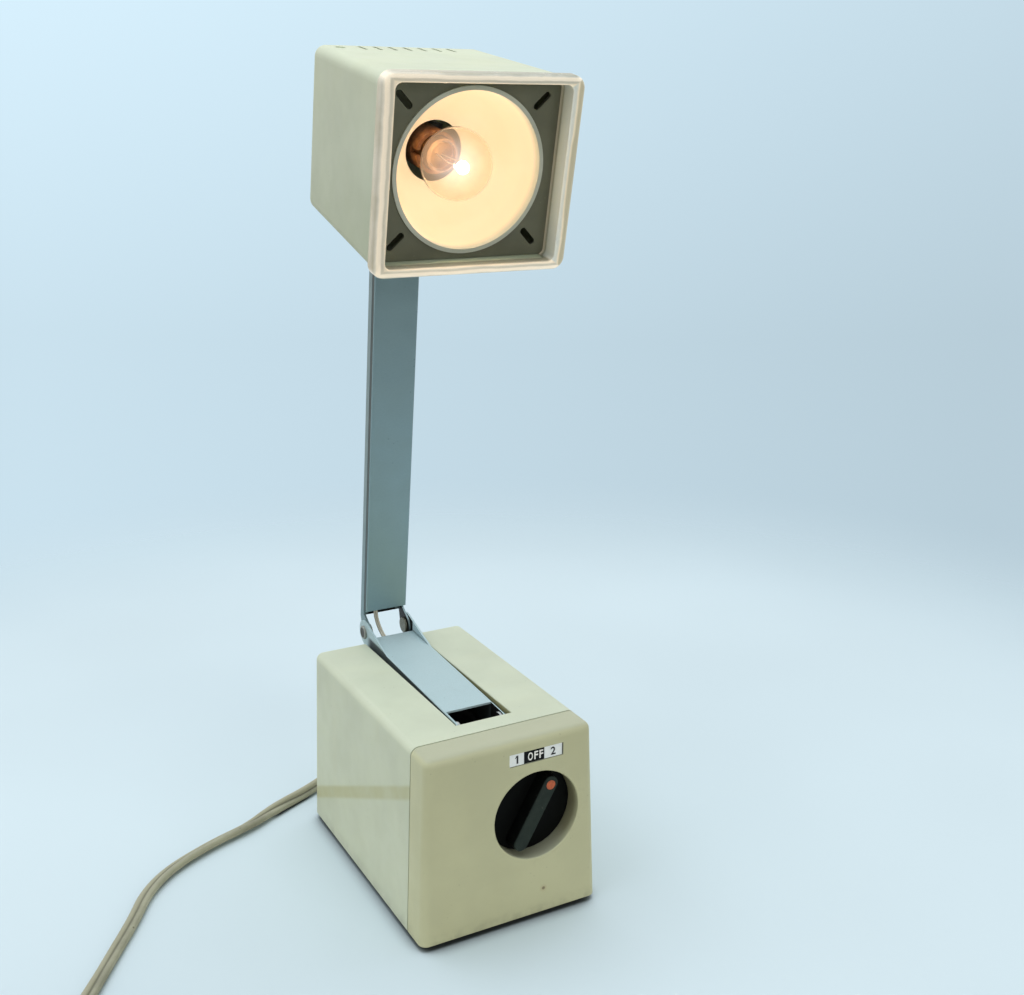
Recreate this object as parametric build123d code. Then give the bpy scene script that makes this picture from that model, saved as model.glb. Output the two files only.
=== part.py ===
from build123d import *
import os
from math import cos, pi, radians, sin, sqrt, tan

os.makedirs("parts", exist_ok=True)

# Driving dimensions, in millimetres and degrees. The lamp faces -Y and stands on z = 0.
# Everything is drawn with the base centred on y = 0 and moved once, when it is written.

# Base
base_depth = 139.5
base_height = 95.0
base_top_width = 84.6
base_bottom_width = 92.3
base_lift = 3.0
base_edge_radius = 4.0
base_wall = 2.4
cover_depth = 15.9
cover_wall = 2.6
cover_front_wall = 2.8
seam_gap = 0.7
tongue_wall = 1.2
tongue_reach = 4.0

# Slot in the base's top, where the lower arm lies
slot_width = 28.9
slot_from_front = 26.6
slot_depth = 19.0
slot_wall = 2.0
slot_edge_radius = 0.6

# Base plate, feet and screw posts
plate_bottom_z = 3.4
plate_wall = 2.0
plate_clearance = 0.3
post_radius = 4.0
post_side_gap = 5.95
post_inset = 12.0
foot_radius = 6.5
foot_recess_radius = 3.4
foot_edge_radius = 0.8
screw_radius = 1.5
screw_head_radius = 2.8
screw_head_height = 1.8
screw_reach = 10.0
screw_clearance = 0.1
screw_tip_gap = 1.0
vent_count = 7
vent_pitch = 8.0
vent_width = 3.0
vent_length = 24.0
vent_y = -22.0

# Transformer
core_share = 0.585
core_height = 45.0
core_stack = 24.0
core_limb = 18.0
core_window_width = 9.0
core_window_height = 27.0
core_from_rear = 41.75
bobbin_wall = 1.0
bobbin_clearance = 0.2
winding_reach = 8.0
winding_corner = 3.0
strap_wall = 1.2
strap_width = 18.0
strap_side_gap = 1.6
strap_clearance = 0.15

# Rotary switch and knob
knob_x = 13.4
knob_from_top = 40.3
well_radius = 22.0
well_depth = 13.5
well_wall = 2.0
knob_clearance = 0.4
knob_face_depth = 8.7
knob_disc_height = 2.2
grip_width = 7.8
grip_length = 39.0
grip_below_front = 0.75
grip_draft = 2.0
grip_edge_radius = 0.7
knob_angle = 30.0
dot_radius = 2.3
dot_height = 0.8
dot_offset = 15.2
shaft_radius = 3.0
shaft_clearance = 0.05
bushing_radius = 4.6
bushing_clearance = 0.12
nut_width = 12.0
nut_height = 2.0
switch_radius = 13.0
switch_length = 14.0
switch_edge_radius = 1.0
switch_bore_floor = 3.0
shaft_end_gap = 1.0
lug_width = 3.2
lug_wall = 0.8
lug_reach = 6.0
lug_circle = 8.5
lug_count = 3
lug_hole_radius = 0.8

# Dial label
label_x = 12.65
label_from_top = 9.5
label_width = 27.5
label_height = 6.05
label_recess = 0.8
label_wall = 0.6
label_clearance = 0.1

# Lower arm: a bent channel, open below, hinged at the front of the slot
lower_width = 25.8
lower_sheet = 1.0
lower_flange = 14.0
lower_rise = 2.5
lower_front_gap = 16.65
lower_web_drop = 0.9
lower_web_length = 91.4
lower_pivot_u = -10.8
lower_pivot_w = -5.6
lower_ear_radius = 5.5
elbow_beyond_web = 7.9
elbow_w = 0.7
elbow_ear_radius = 6.5
bend_radius = 0.9
rest_gap = 0.3

# Bracket that carries the lower arm
bracket_wall = 1.2
bracket_side_gap = 0.3
bracket_ear_radius = 5.0
bracket_length = 20.0
bracket_front_gap = 1.0
pin_radius = 2.0
pin_clearance = 0.05
pin_head_radius = 3.4
pin_head_height = 0.9
pin_head_gap = 0.1

# Elbow rivets
rivet_radius = 2.6
rivet_head_radius = 3.6
rivet_head_height = 1.1
rivet_tail_radius = 4.1
rivet_tail_height = 1.0
rivet_gap = 0.25

# Upper arm: a lipped rear channel and a front channel that slides up along it
upper_width = 23.3
upper_sheet = 1.0
upper_lean = 8.4
front_web_d = 1.2
front_flange = 3.0
channel_seam = 0.4
rear_flange = 4.0
rear_lip_reach = 4.65
rear_ear_radius = 6.0
rear_root_to = 8.6
rear_web_from = 6.0
rear_lip_from = 12.0
rear_top_gap = 13.0
front_from = 11.3
front_web_gap = 12.0
head_pivot_s = 217.0
head_pivot_d = 4.25
front_ear_radius = 5.5
slide_travel = 100.0
slide_clearance = 0.3
guide_length = 18.0
guide_spacing = 60.0
guide_from = 16.0
guide_wall = 1.4
stop_length = 4.5
stop_width = 9.0

# Arm wires
wire_radius = 0.85
wire_gap = 0.1
wire_lip_gap = 0.3
lower_wire_x = -4.0
lower_wire_from = 4.0
lower_wire_end_gap = 4.4
upper_wire_x = 8.3
upper_wire_from = 13.0
slider_wire_from = 40.0
slider_wire_end_gap = 13.5
elbow_wire_cut = 5.0
elbow_wire_radius = 4.0
head_lead_radius = 2.0
head_lead_back = 5.0
head_lead_rise = 4.0

# Head
head_tilt = 12.6
pivot_from_rear = 11.74
pivot_below_axis = 43.411
frame_width = 91.1
frame_height = 82.8
frame_depth = 6.0
frame_corner = 5.5
frame_front_edge = 2.0
opening_width = 80.2
opening_height = 75.0
opening_corner = 3.0
opening_edge = 1.0
shell_front_width = 88.6
shell_front_height = 79.6
shell_rear_width = 81.3
shell_rear_height = 72.6
head_depth = 92.3
shell_edge_radius = 5.0
shell_wall = 2.0
sleeve_clearance = 0.3
vent_slot_count = 7
vent_slot_pitch = 7.2
vent_slot_length = 10.0
vent_slot_width = 1.7
vent_slot_from_rear = 11.4
dimple_x = -32.0
dimple_radius = 2.4
dimple_depth = 0.5
lead_hole_radius = 3.0

# Baffle and reflector, measured back from the frame's front
baffle_y = 11.0
baffle_wall = 1.2
baffle_slot_x = 31.5
baffle_slot_z = 29.0
baffle_slot_length = 9.5
baffle_slot_width = 3.0
rim_radius = 35.0
rim_height = 0.8
bowl_radius = 33.2
bowl_depth = 36.0
bowl_wall = 0.8
bowl_hole_radius = 13.5
bowl_mid_radius = 28.0
bowl_mid_y = 30.5

# Socket and bulb
socket_y = 43.5
socket_length = 19.0
socket_radius = 9.6
socket_base_height = 4.0
cap_radius = 7.5
cap_clearance = 0.4
cap_y = 37.3
cap_length = 17.0
cap_grip_depth = 3.0
cap_grip_gap = 0.1
cap_pin_radius = 0.9
cap_pin_reach = 1.1
cap_pin_y = 49.0
slot_pin_clearance = 0.3
globe_radius = 15.5
globe_y = 23.0
neck_radius = 6.6
glass_wall = 0.6
filament_radius = 0.7
filament_length = 6.0
filament_y = 19.0
support_radius = 0.35
contact_radius = 1.4
contact_offset = 3.2
contact_gap = 0.1
bridge_wall = 1.2
bridge_width = 26.4
bridge_height = 14.0
bridge_foot = 6.0
bridge_hole_radius = 5.0

# Bracket under the head
knuckle_wall = 1.2
knuckle_side_gap = 0.3
knuckle_ear_radius = 5.0
knuckle_plate = 1.4
knuckle_length = 18.0
knuckle_screw_offset = 7.0

# Power cord, its gland, coil, tie and plug
cord_radius = 3.2
gland_x = 24.0
gland_z = 14.0
gland_hole_radius = 5.6
gland_collar_radius = 7.0
gland_tip_radius = 4.0
gland_reach = 9.0
gland_collar = 2.0
gland_flange_radius = 8.0
gland_flange = 2.4
gland_tail = 6.0
gland_tail_wall = 1.0
gland_clearance = 0.1
view_edge_x = -207.7
view_edge_y = -109.35
view_turn = -28.4
coil_view_offset = 67.0
coil_side_offset = -3.0
coil_inner_radius = 20.0
coil_pitch = 7.2
coil_layer = 7.1
coil_half_turns_in = 7
coil_half_turns_out = 6
coil_lead = 30.0
coil_tail = 34.0
tie_wall = 0.8
tie_width = 5.0
tie_clearance = 0.3
tie_floor_gap = 0.1
plug_length = 27.0
plug_width = 25.0
plug_floor_gap = 0.1
plug_neck = 10.0
plug_neck_wall = 1.5
plug_corner = 4.0
plug_edge_radius = 1.5
blade_spacing = 12.7
blade_length = 16.0
blade_width = 6.35
blade_wall = 1.5

# Places that follow from the sizes
half_depth = base_depth / 2
front_y = -half_depth
seam_y = front_y + cover_depth
slot_front_y = front_y + slot_from_front
slot_floor_z = base_height - slot_depth
knob_z = base_height - knob_from_top
label_z = base_height - label_from_top
core_width = core_share * base_bottom_width
core_y = half_depth - core_from_rear
plate_top_z = plate_bottom_z + plate_wall
lower_rise_rad = radians(lower_rise)
upper_lean_rad = radians(upper_lean)
head_tilt_rad = radians(head_tilt)
lower_along = Vector(0, cos(lower_rise_rad), sin(lower_rise_rad))
lower_up = Vector(0, -sin(lower_rise_rad), cos(lower_rise_rad))
lower_front_y = slot_front_y + lower_front_gap
lower_front_z = base_height - lower_web_drop
lower_start = Vector(0, lower_front_y, lower_front_z)
lower_frame = Plane(lower_start, x_dir=lower_along, z_dir=(1, 0, 0))
elbow_u = lower_web_length + elbow_beyond_web
elbow = lower_start + lower_along * elbow_u + lower_up * elbow_w
lower_pivot = lower_start + lower_along * lower_pivot_u + lower_up * lower_pivot_w
upper_along = Vector(0, -sin(upper_lean_rad), cos(upper_lean_rad))
upper_back = Vector(0, cos(upper_lean_rad), sin(upper_lean_rad))
upper_frame = Plane(elbow, x_dir=upper_along, z_dir=(-1, 0, 0))
rear_top = head_pivot_s - rear_top_gap
front_web_top = head_pivot_s - front_web_gap
lower_wire_to = lower_web_length - lower_wire_end_gap
slider_wire_to = head_pivot_s - slider_wire_end_gap
rear_flange_d = front_web_d + front_flange + channel_seam
rear_web_d = rear_flange_d + rear_flange - upper_sheet
head_pivot = elbow + upper_along * head_pivot_s + upper_back * head_pivot_d
head_up = Vector(0, -sin(head_tilt_rad), cos(head_tilt_rad))
head_back = Vector(0, cos(head_tilt_rad), sin(head_tilt_rad))
pivot_y = head_depth - pivot_from_rear
pivot_z = -pivot_below_axis
head_origin = head_pivot - head_back * pivot_y - head_up * pivot_z
head_frame = Plane(head_origin, x_dir=(1, 0, 0), z_dir=head_up)
vent_slot_y = head_depth - vent_slot_from_rear
lead_hole_y = pivot_y + head_lead_back
base_centre_y = -(elbow.Y + elbow_ear_radius - half_depth) / 2
wire_d = rear_flange_d - wire_radius - wire_lip_gap
coil_z = cord_radius + tie_clearance + tie_wall + tie_floor_gap
plug_height = 2 * (coil_z + coil_layer - plug_floor_gap)


def save(node, shape):
    """Write one node, moved so that the lamp's box is centred over the origin."""
    export_step(shape.moved(Location((0, base_centre_y, 0))), f"parts/{node}.step")


def block(low, high):
    """A block from its lowest corner to its highest one."""
    size = [b - a for a, b in zip(low, high)]
    middle = [(a + b) / 2 for a, b in zip(low, high)]
    return Pos(*middle) * Box(*size)


def rod(start, end, radius):
    """A round rod between two points."""
    way = Vector(*end) - Vector(*start)
    return extrude(Plane(start, z_dir=way) * Circle(radius), way.length)


def half_width_at(z):
    """Half of the base's width at a height: its sides lean in towards the top."""
    share = (base_height - z) / (base_height - base_lift)
    return (base_top_width + (base_bottom_width - base_top_width) * share) / 2


def plate_half_width():
    """Half of the bottom plate's width: it lies inside the cover's tongue."""
    return half_width_at(plate_top_z) - cover_wall - tongue_wall - plate_clearance


def base_form(inset, front, rear, low):
    """The base's leaning block, set in from its outside, with rounded standing and top edges."""
    high = base_height - inset
    wide, narrow = half_width_at(low) - inset, half_width_at(high) - inset
    outline = Polygon((-wide, low), (wide, low), (narrow, high), (-narrow, high), align=None)
    body = extrude(Plane((0, rear, 0), x_dir=(1, 0, 0), z_dir=(0, -1, 0)) * outline, rear - front)
    upper_edges = body.edges().filter_by(lambda edge: edge.center().Z > low + 1)
    return fillet(upper_edges, base_edge_radius - min(inset, base_edge_radius - 1))


def screw(base, direction, reach):
    """A pan-headed screw: base is where its head meets the piece, direction points to its tip."""
    way = Vector(*direction)
    start = Vector(*base)
    head = rod(start - way * screw_head_height, start, screw_head_radius)
    return head + rod(start, start + way * reach, screw_radius)


def post_places():
    """Where the four screw posts of the base stand."""
    rows = (seam_y + post_inset, half_depth - post_inset)
    post_x = plate_half_width() - post_side_gap
    return [(x, y) for x in (-post_x, post_x) for y in rows]


outer_form = base_form(0, -half_depth, half_depth, base_lift)


def make_base_housing():
    """Main moulding: leaning walls, the arm's trough with its sill, screw posts and cord hole."""
    big = base_depth
    behind_seam = block((-big, seam_y + seam_gap / 2, 0), (big, big, big))
    hollow = base_form(base_wall, front_y - base_wall, half_depth - base_wall, base_lift - 1)
    trough_half = slot_width / 2 + slot_wall
    trough = block(
        (-trough_half, slot_front_y - slot_wall, slot_floor_z - slot_wall),
        (trough_half, half_depth, base_height),
    )
    shell = outer_form - hollow + (trough & outer_form)
    for x, y in post_places():
        post = rod((x, y, plate_top_z), (x, y, base_height), post_radius)
        shell = shell + (post & outer_form)
    sill = lower_start + lower_along * (half_depth - lower_front_y) - lower_up * lower_flange
    half_slot = slot_width / 2
    shell = shell & behind_seam
    rear = half_depth - base_wall
    shell = shell - block((-half_slot, slot_front_y, slot_floor_z), (half_slot, rear, big))
    shell = shell - block((-half_slot, slot_front_y, sill.Z - rest_gap), (half_slot, big, big))
    for x, y in post_places():
        top = plate_top_z + screw_reach
        shell = shell - rod((x, y, base_lift), (x, y, top), screw_radius + screw_clearance)
    hole_start = half_depth - 2 * base_wall
    shell = shell - rod((gland_x, hole_start, gland_z), (gland_x, big, gland_z), gland_hole_radius)
    for x, y, z in bracket_screw_places():
        shell = shell - rod((x, y, z - 2 * slot_wall), (x, y, z), screw_radius + screw_clearance)
    mouth = shell.edges().filter_by(Axis.Y).filter_by(
        lambda edge: abs(abs(edge.center().X) - half_slot) < 0.01 and edge.center().Z > base_height - 0.01
    )
    return fillet(mouth, slot_edge_radius)


def make_front_cover():
    """Front cover: bare face, round knob well, label recess and a tongue that fits in the housing."""
    big = base_depth
    before_seam = block((-big, -big, 0), (big, seam_y - seam_gap / 2, big))
    hollow = base_form(cover_wall, front_y + cover_front_wall, big, base_lift - 1)
    face = Vector(knob_x, front_y, knob_z)
    back = Vector(0, 1, 0)
    boss = rod(face, face + back * (well_depth + well_wall), well_radius + well_wall)
    tongue = base_form(cover_wall, front_y, big, base_lift)
    tongue = tongue - base_form(cover_wall + tongue_wall, front_y - 1, big + 1, base_lift - 1)
    tongue = tongue & block((-big, seam_y - tongue_reach, 0), (big, seam_y + tongue_reach, big))
    cover = ((outer_form - hollow) & before_seam) + (boss & outer_form) + tongue
    cover = cover - rod(face, face + back * well_depth, well_radius)
    cover = cover - rod(face, face + back * big, bushing_radius + bushing_clearance)
    cover = cover - block(
        (label_x - label_width / 2, front_y, label_z - label_height / 2),
        (label_x + label_width / 2, front_y + label_recess, label_z + label_height / 2),
    )
    rim = cover.edges().filter_by(GeomType.CIRCLE).filter_by(
        lambda edge: abs(edge.radius - well_radius) < 0.01 and edge.center().Y < front_y + 0.01
    )
    return fillet(rim, slot_edge_radius)


def make_base_plate():
    """Bottom plate with a row of vents, held by four screws through the feet."""
    half = plate_half_width()
    front = front_y + cover_front_wall + plate_clearance
    rear = half_depth - base_wall - plate_clearance
    outline = Pos(0, (front + rear) / 2) * RectangleRounded(2 * half, rear - front, base_edge_radius)
    plate = extrude(Plane.XY.offset(plate_bottom_z) * outline, plate_wall)
    slot = extrude(SlotOverall(vent_length, vent_width, rotation=90), base_height)
    for n in range(vent_count):
        plate = plate - Pos((n - (vent_count - 1) / 2) * vent_pitch, vent_y, 0) * slot
    for x, y in post_places() + strap_screw_places():
        plate = plate - rod((x, y, 0), (x, y, base_height), screw_radius + screw_clearance)
    return plate


def make_rubber_feet():
    """Four round rubber feet, each with a recess for its screw's head."""
    foot = Cylinder(foot_radius, plate_bottom_z, align=(Align.CENTER, Align.CENTER, Align.MIN))
    foot = fillet(foot.edges().sort_by(Axis.Z)[0], foot_edge_radius)
    foot = foot - Cylinder(foot_recess_radius, 3 * plate_bottom_z)
    return Compound([Pos(x, y, 0) * foot for x, y in post_places()])


def make_base_screws():
    """Screws through the feet and the plate into the posts."""
    reach = plate_wall + screw_reach - screw_tip_gap
    return Compound([screw((x, y, plate_bottom_z), (0, 0, 1), reach) for x, y in post_places()])


def core_middle_z():
    """Height of the transformer core's middle: the core stands on the plate."""
    return plate_top_z + core_height / 2


def strap_screw_places():
    """Where the strap's feet are screwed to the plate."""
    x = (strap_half_width() + strap_foot_end()) / 2
    return [(-x, core_y), (x, core_y)]


def strap_half_width():
    """Half of the strap's width over the core."""
    return core_width / 2 + strap_clearance + strap_wall


def strap_foot_end():
    """How far out the strap's feet reach on the plate."""
    return plate_half_width() - strap_side_gap


def make_transformer_core():
    """Stack of laminations with two windows."""
    middle = core_middle_z()
    core = Pos(0, core_y, middle) * Box(core_width, core_stack, core_height)
    for side in (-1, 1):
        x = side * (core_limb + core_window_width) / 2
        core = core - Pos(x, core_y, middle) * Box(core_window_width, 2 * core_stack, core_window_height)
    return core


def make_transformer_bobbin():
    """Bobbin round the middle limb with end and middle flanges."""
    width = core_limb + 2 * core_window_width - 2 * bobbin_clearance
    depth = core_stack + 2 * winding_reach
    height = core_window_height - 2 * bobbin_clearance
    tube_x = core_limb + 2 * bobbin_clearance + 2 * bobbin_wall
    tube_y = core_stack + 2 * bobbin_clearance + 2 * bobbin_wall
    bobbin = Box(tube_x, tube_y, height)
    for z in (-(height - bobbin_wall) / 2, 0, (height - bobbin_wall) / 2):
        bobbin = bobbin + Pos(0, 0, z) * Box(width, depth, bobbin_wall)
    bobbin = bobbin - Box(tube_x - 2 * bobbin_wall, tube_y - 2 * bobbin_wall, 2 * height)
    return Pos(0, core_y, core_middle_z()) * bobbin


def make_winding(side):
    """One of the two windings: side -1 is the lower one, 1 the upper one."""
    width = core_limb + 2 * core_window_width - 4 * bobbin_clearance
    depth = core_stack + 2 * winding_reach - 2 * bobbin_wall
    height = (core_window_height - 2 * bobbin_clearance - 3 * bobbin_wall) / 2
    tube_x = core_limb + 2 * bobbin_clearance + 2 * bobbin_wall
    tube_y = core_stack + 2 * bobbin_clearance + 2 * bobbin_wall
    ring = RectangleRounded(width, depth, winding_corner) - Rectangle(tube_x, tube_y)
    coil = extrude(ring, height / 2, both=True)
    z = core_middle_z() + side * (height + bobbin_wall) / 2
    return Pos(0, core_y, z) * coil


def make_transformer_strap():
    """Steel strap over the core, with a foot each side."""
    outer = strap_half_width()
    inner = outer - strap_wall
    top = plate_top_z + core_height + strap_clearance
    near, far = core_y - strap_width / 2, core_y + strap_width / 2
    strap = block((-outer, near, plate_top_z), (outer, far, top + strap_wall))
    end = strap_foot_end()
    strap = strap + block((-end, near, plate_top_z), (end, far, plate_top_z + strap_wall))
    strap = strap - block((-inner, near - 1, 0), (inner, far + 1, top))
    for x, y in strap_screw_places():
        strap = strap - rod((x, y, 0), (x, y, base_height), screw_radius + screw_clearance)
    return strap


def make_transformer_screws():
    """Screws through the strap's feet and the plate."""
    top = plate_top_z + strap_wall
    reach = strap_wall + plate_wall
    return Compound([screw((x, y, top), (0, 0, -1), reach) for x, y in strap_screw_places()])


def make_switch_body():
    """Rotary switch: round wafer body and a threaded bushing through the well's floor."""
    back = Vector(0, 1, 0)
    start = Vector(knob_x, front_y + well_depth + well_wall, knob_z)
    body = rod(start, start + back * switch_length, switch_radius)
    body = fillet(body.edges(), switch_edge_radius)
    bushing = rod(start - back * (well_wall + nut_height), start, bushing_radius)
    bore_end = start + back * (switch_length - switch_bore_floor)
    bore = rod(start - back * well_depth, bore_end, shaft_radius + shaft_clearance)
    return body + bushing - bore


def make_switch_nut():
    """Hexagon nut on the bushing, on the well's floor."""
    floor = Vector(knob_x, front_y + well_depth, knob_z)
    plane = Plane(floor, x_dir=(1, 0, 0), z_dir=(0, -1, 0))
    nut = RegularPolygon(nut_width / 2, 6, major_radius=False) - Circle(bushing_radius + bushing_clearance)
    return extrude(plane * nut, nut_height)


def make_switch_terminals():
    """Three solder lugs on the back of the switch."""
    y = front_y + well_depth + well_wall + switch_length
    lugs = []
    for n in range(lug_count):
        turn = radians(360 / lug_count * n + 90)
        x, z = knob_x + lug_circle * cos(turn), knob_z + lug_circle * sin(turn)
        hole = Pos(0, lug_reach / 5, 0) * Cylinder(lug_hole_radius, 2 * lug_wall)
        lug = Box(lug_width, lug_reach, lug_wall) - hole
        lugs.append(Pos(x, y + lug_reach / 2, z) * lug)
    return Compound(lugs)


def make_label_plate():
    """Dial label in its recess above the knob."""
    width, height = label_width - 2 * label_clearance, label_height - 2 * label_clearance
    y = front_y + label_recess - label_wall / 2
    return Pos(label_x, y, label_z) * Box(width, label_wall, height)


def knob_plane(depth):
    """Plane across the knob's axis, a depth below the cover's face, with the grip along its y."""
    turn = radians(knob_angle)
    across = (cos(turn), 0, -sin(turn))
    return Plane((knob_x, front_y + depth, knob_z), x_dir=across, z_dir=(0, -1, 0))


def make_knob():
    """Round knob low in its well, with a rounded bar grip across it."""
    disc = extrude(knob_plane(knob_face_depth) * Circle(well_radius - knob_clearance), -knob_disc_height)
    outline = knob_plane(knob_face_depth) * SlotOverall(grip_length, grip_width, rotation=90)
    grip = extrude(outline, knob_face_depth - grip_below_front, taper=grip_draft)
    front = grip.faces().sort_by(Axis.Y)[0]
    grip = fillet(front.edges(), grip_edge_radius)
    knob = disc + grip
    seat = extrude(knob_plane(grip_below_front) * Pos(0, dot_offset) * Circle(dot_radius), -dot_height)
    bore_depth = knob_face_depth + knob_disc_height
    bore = extrude(knob_plane(bore_depth) * Circle(shaft_radius), shaft_seat())
    return knob - seat - bore


def shaft_seat():
    """How far the shaft goes into the knob."""
    return knob_disc_height + knob_face_depth / 2


def make_knob_indicator():
    """Coloured dot let into the grip's end."""
    return extrude(knob_plane(grip_below_front) * Pos(0, dot_offset) * Circle(dot_radius), -dot_height)


def make_switch_shaft():
    """Shaft of the switch, turned by the knob."""
    start = knob_face_depth + knob_disc_height - shaft_seat()
    end = well_depth + well_wall + switch_length - switch_bore_floor - shaft_end_gap
    return extrude(knob_plane(start) * Circle(shaft_radius), -(end - start))


def side_plates(frame, outline, inner, outer):
    """The same flat outline as a left and a right plate, between two distances from the middle."""
    right = extrude(frame.offset(inner) * outline, outer - inner)
    left = extrude(frame.offset(-outer) * outline, outer - inner)
    return left + right


def rectangle_between(low, high):
    """A rectangle from its lowest corner to its highest one."""
    middle = [(a + b) / 2 for a, b in zip(low, high)]
    return Pos(*middle) * Rectangle(high[0] - low[0], high[1] - low[1])


def hull(*shapes):
    """The tight outline round several flat shapes."""
    edges = ShapeList()
    for shape in shapes:
        edges += shape.edges()
    return make_hull(edges)


def make_lower_arm_channel():
    """Bent sheet channel, open below, with ears at the base pivot and round the elbow."""
    half = lower_width / 2
    flange = rectangle_between((0, -lower_flange), (lower_web_length, 0))
    front_ear = hull(
        Pos(lower_pivot_u, lower_pivot_w) * Circle(lower_ear_radius),
        rectangle_between((lower_sheet, -lower_flange + 1), (lower_flange, 0)),
    )
    rear_root = lower_web_length - elbow_ear_radius
    rear_ear = hull(
        Pos(elbow_u, elbow_w) * Circle(elbow_ear_radius),
        rectangle_between((rear_root - lower_flange, -lower_flange), (rear_root, 0)),
    )
    outline = flange + front_ear + rear_ear
    outline = outline - Pos(lower_pivot_u, lower_pivot_w) * Circle(pin_radius + pin_clearance)
    outline = outline - Pos(elbow_u, elbow_w) * Circle(rivet_radius)
    web = rectangle_between((0, -lower_sheet), (lower_web_length, 0))
    channel = side_plates(lower_frame, outline, half - lower_sheet, half)
    channel = channel + extrude(lower_frame * web, half, both=True)
    bends = channel.edges().filter_by(GeomType.LINE).filter_by(
        lambda edge: abs(abs(edge.center().X) - half) < 0.01
        and edge.length > lower_web_length / 2
        and edge.center().Z > (elbow.Z + lower_front_z) / 2 - lower_flange / 2
    )
    return fillet(bends, bend_radius)


def lower_point(x, u, w):
    """A point of the lower arm: across, along and up from its web."""
    return Vector(x, 0, 0) + lower_start + lower_along * u + lower_up * w


def upper_point(x, s, d):
    """A point of the upper arm: across, along from the elbow and back from its axis."""
    return Vector(x, 0, 0) + elbow + upper_along * s + upper_back * d


def make_lower_arm_wire():
    """Supply wire under the lower arm's web."""
    w = -lower_sheet - wire_radius - wire_gap
    start = lower_point(lower_wire_x, lower_wire_from, w)
    return rod(start, lower_point(lower_wire_x, lower_wire_to, w), wire_radius)


def make_elbow_wire():
    """Loop of the supply wire across the open elbow."""
    w = -lower_sheet - wire_radius - wire_gap
    start = lower_point(lower_wire_x, lower_wire_to, w)
    end = upper_point(-upper_wire_x, upper_wire_from, wire_d)
    down = (end - start).dot(lower_up) / upper_along.dot(lower_up)
    corner = end - upper_along * down
    near = Vector(start.X, corner.Y, corner.Z) - lower_along * elbow_wire_cut
    far = corner + upper_along * elbow_wire_cut
    path = FilletPolyline(start, near, far, end, radius=elbow_wire_radius)
    return sweep(Plane(path ^ 0) * Circle(wire_radius), path=path)


def bracket_half():
    """Half of the base bracket's width: it stands inside the lower arm's ears."""
    return lower_width / 2 - lower_sheet - bracket_side_gap


def bracket_span():
    """Front and rear ends of the base bracket's foot."""
    front = slot_front_y + bracket_front_gap
    return front, front + bracket_length


def bracket_screw_places():
    """Where the bracket is screwed to the slot's floor."""
    front, rear = bracket_span()
    return [(x, rear - bracket_length / 4, slot_floor_z) for x in (-bracket_length / 4, bracket_length / 4)]


def make_arm_bracket():
    """Folded bracket in the front of the slot, with two cheeks for the lower arm's pin."""
    half = bracket_half()
    front, rear = bracket_span()
    side = Plane((0, 0, 0), x_dir=(0, 1, 0), z_dir=(1, 0, 0))
    foot = rectangle_between((front, slot_floor_z), (rear, slot_floor_z + bracket_wall))
    cheek = hull(Pos(lower_pivot.Y, lower_pivot.Z) * Circle(bracket_ear_radius), foot)
    cheek = cheek - Pos(lower_pivot.Y, lower_pivot.Z) * Circle(pin_radius)
    bracket = side_plates(side, cheek, half - bracket_wall, half)
    bracket = bracket + extrude(side * foot, half, both=True)
    for x, y, z in bracket_screw_places():
        bracket = bracket - rod((x, y, z), (x, y, z + bracket_length), screw_radius + screw_clearance)
    return bracket


def make_arm_bracket_screws():
    """Screws of the bracket, through the slot's floor."""
    top = slot_floor_z + bracket_wall
    reach = bracket_wall + slot_wall
    return Compound([screw((x, y, top), (0, 0, -1), reach) for x, y, z in bracket_screw_places()])


def headed_pin(place, half_span, radius, head_radius, head_height):
    """A pin across the lamp with a flat head at each end, outside a half span."""
    end = Vector(half_span + head_height, 0, 0)
    pin = rod(place - end, place + end, radius)
    for side in (-1, 1):
        start = place + Vector(side * half_span, 0, 0)
        pin = pin + rod(start, start + Vector(side * head_height, 0, 0), head_radius)
    return pin


def make_arm_pivot_pin():
    """Pin on which the lower arm turns, held in the base's bracket."""
    return headed_pin(
        lower_pivot, lower_width / 2 + pin_head_gap, pin_radius, pin_head_radius, pin_head_height
    )


def make_elbow_rivets():
    """Two short rivets, one through each pair of elbow ears."""
    rivets = []
    outside = lower_width / 2
    inside = upper_width / 2 - upper_sheet - rivet_gap
    for side in (-1, 1):
        at = [Vector(side * x, 0, 0) + elbow for x in (inside - rivet_tail_height, inside, outside)]
        end = at[2] + Vector(side * rivet_head_height, 0, 0)
        head = rod(at[2], end, rivet_head_radius)
        rim = head.edges().filter_by(GeomType.CIRCLE).sort_by(Axis.X)[0 if side < 0 else -1]
        head = fillet(rim, rivet_head_height / 2)
        rivets.append(rod(at[0], at[1], rivet_tail_radius) + rod(at[0], at[2], rivet_radius) + head)
    return Compound(rivets)


def make_upper_arm_rear_channel():
    """Lipped channel of the upper arm, with ears that turn on the elbow's rivets."""
    half = upper_width / 2
    back = rear_flange_d + rear_flange
    root = rectangle_between((rear_ear_radius, rear_flange_d), (rear_root_to, back))
    outline = hull(Circle(rear_ear_radius), root)
    outline = outline + rectangle_between((rear_ear_radius, rear_flange_d), (rear_top, back))
    outline = outline - Circle(rivet_radius + pin_clearance)
    lip = rectangle_between((rear_lip_from, rear_flange_d), (rear_top, rear_flange_d + upper_sheet))
    web = rectangle_between((rear_web_from, rear_web_d), (rear_top, back))
    channel = side_plates(upper_frame, outline, half - upper_sheet, half)
    channel = channel + side_plates(upper_frame, lip, half - rear_lip_reach, half)
    return channel + extrude(upper_frame * web, half, both=True)


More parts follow.
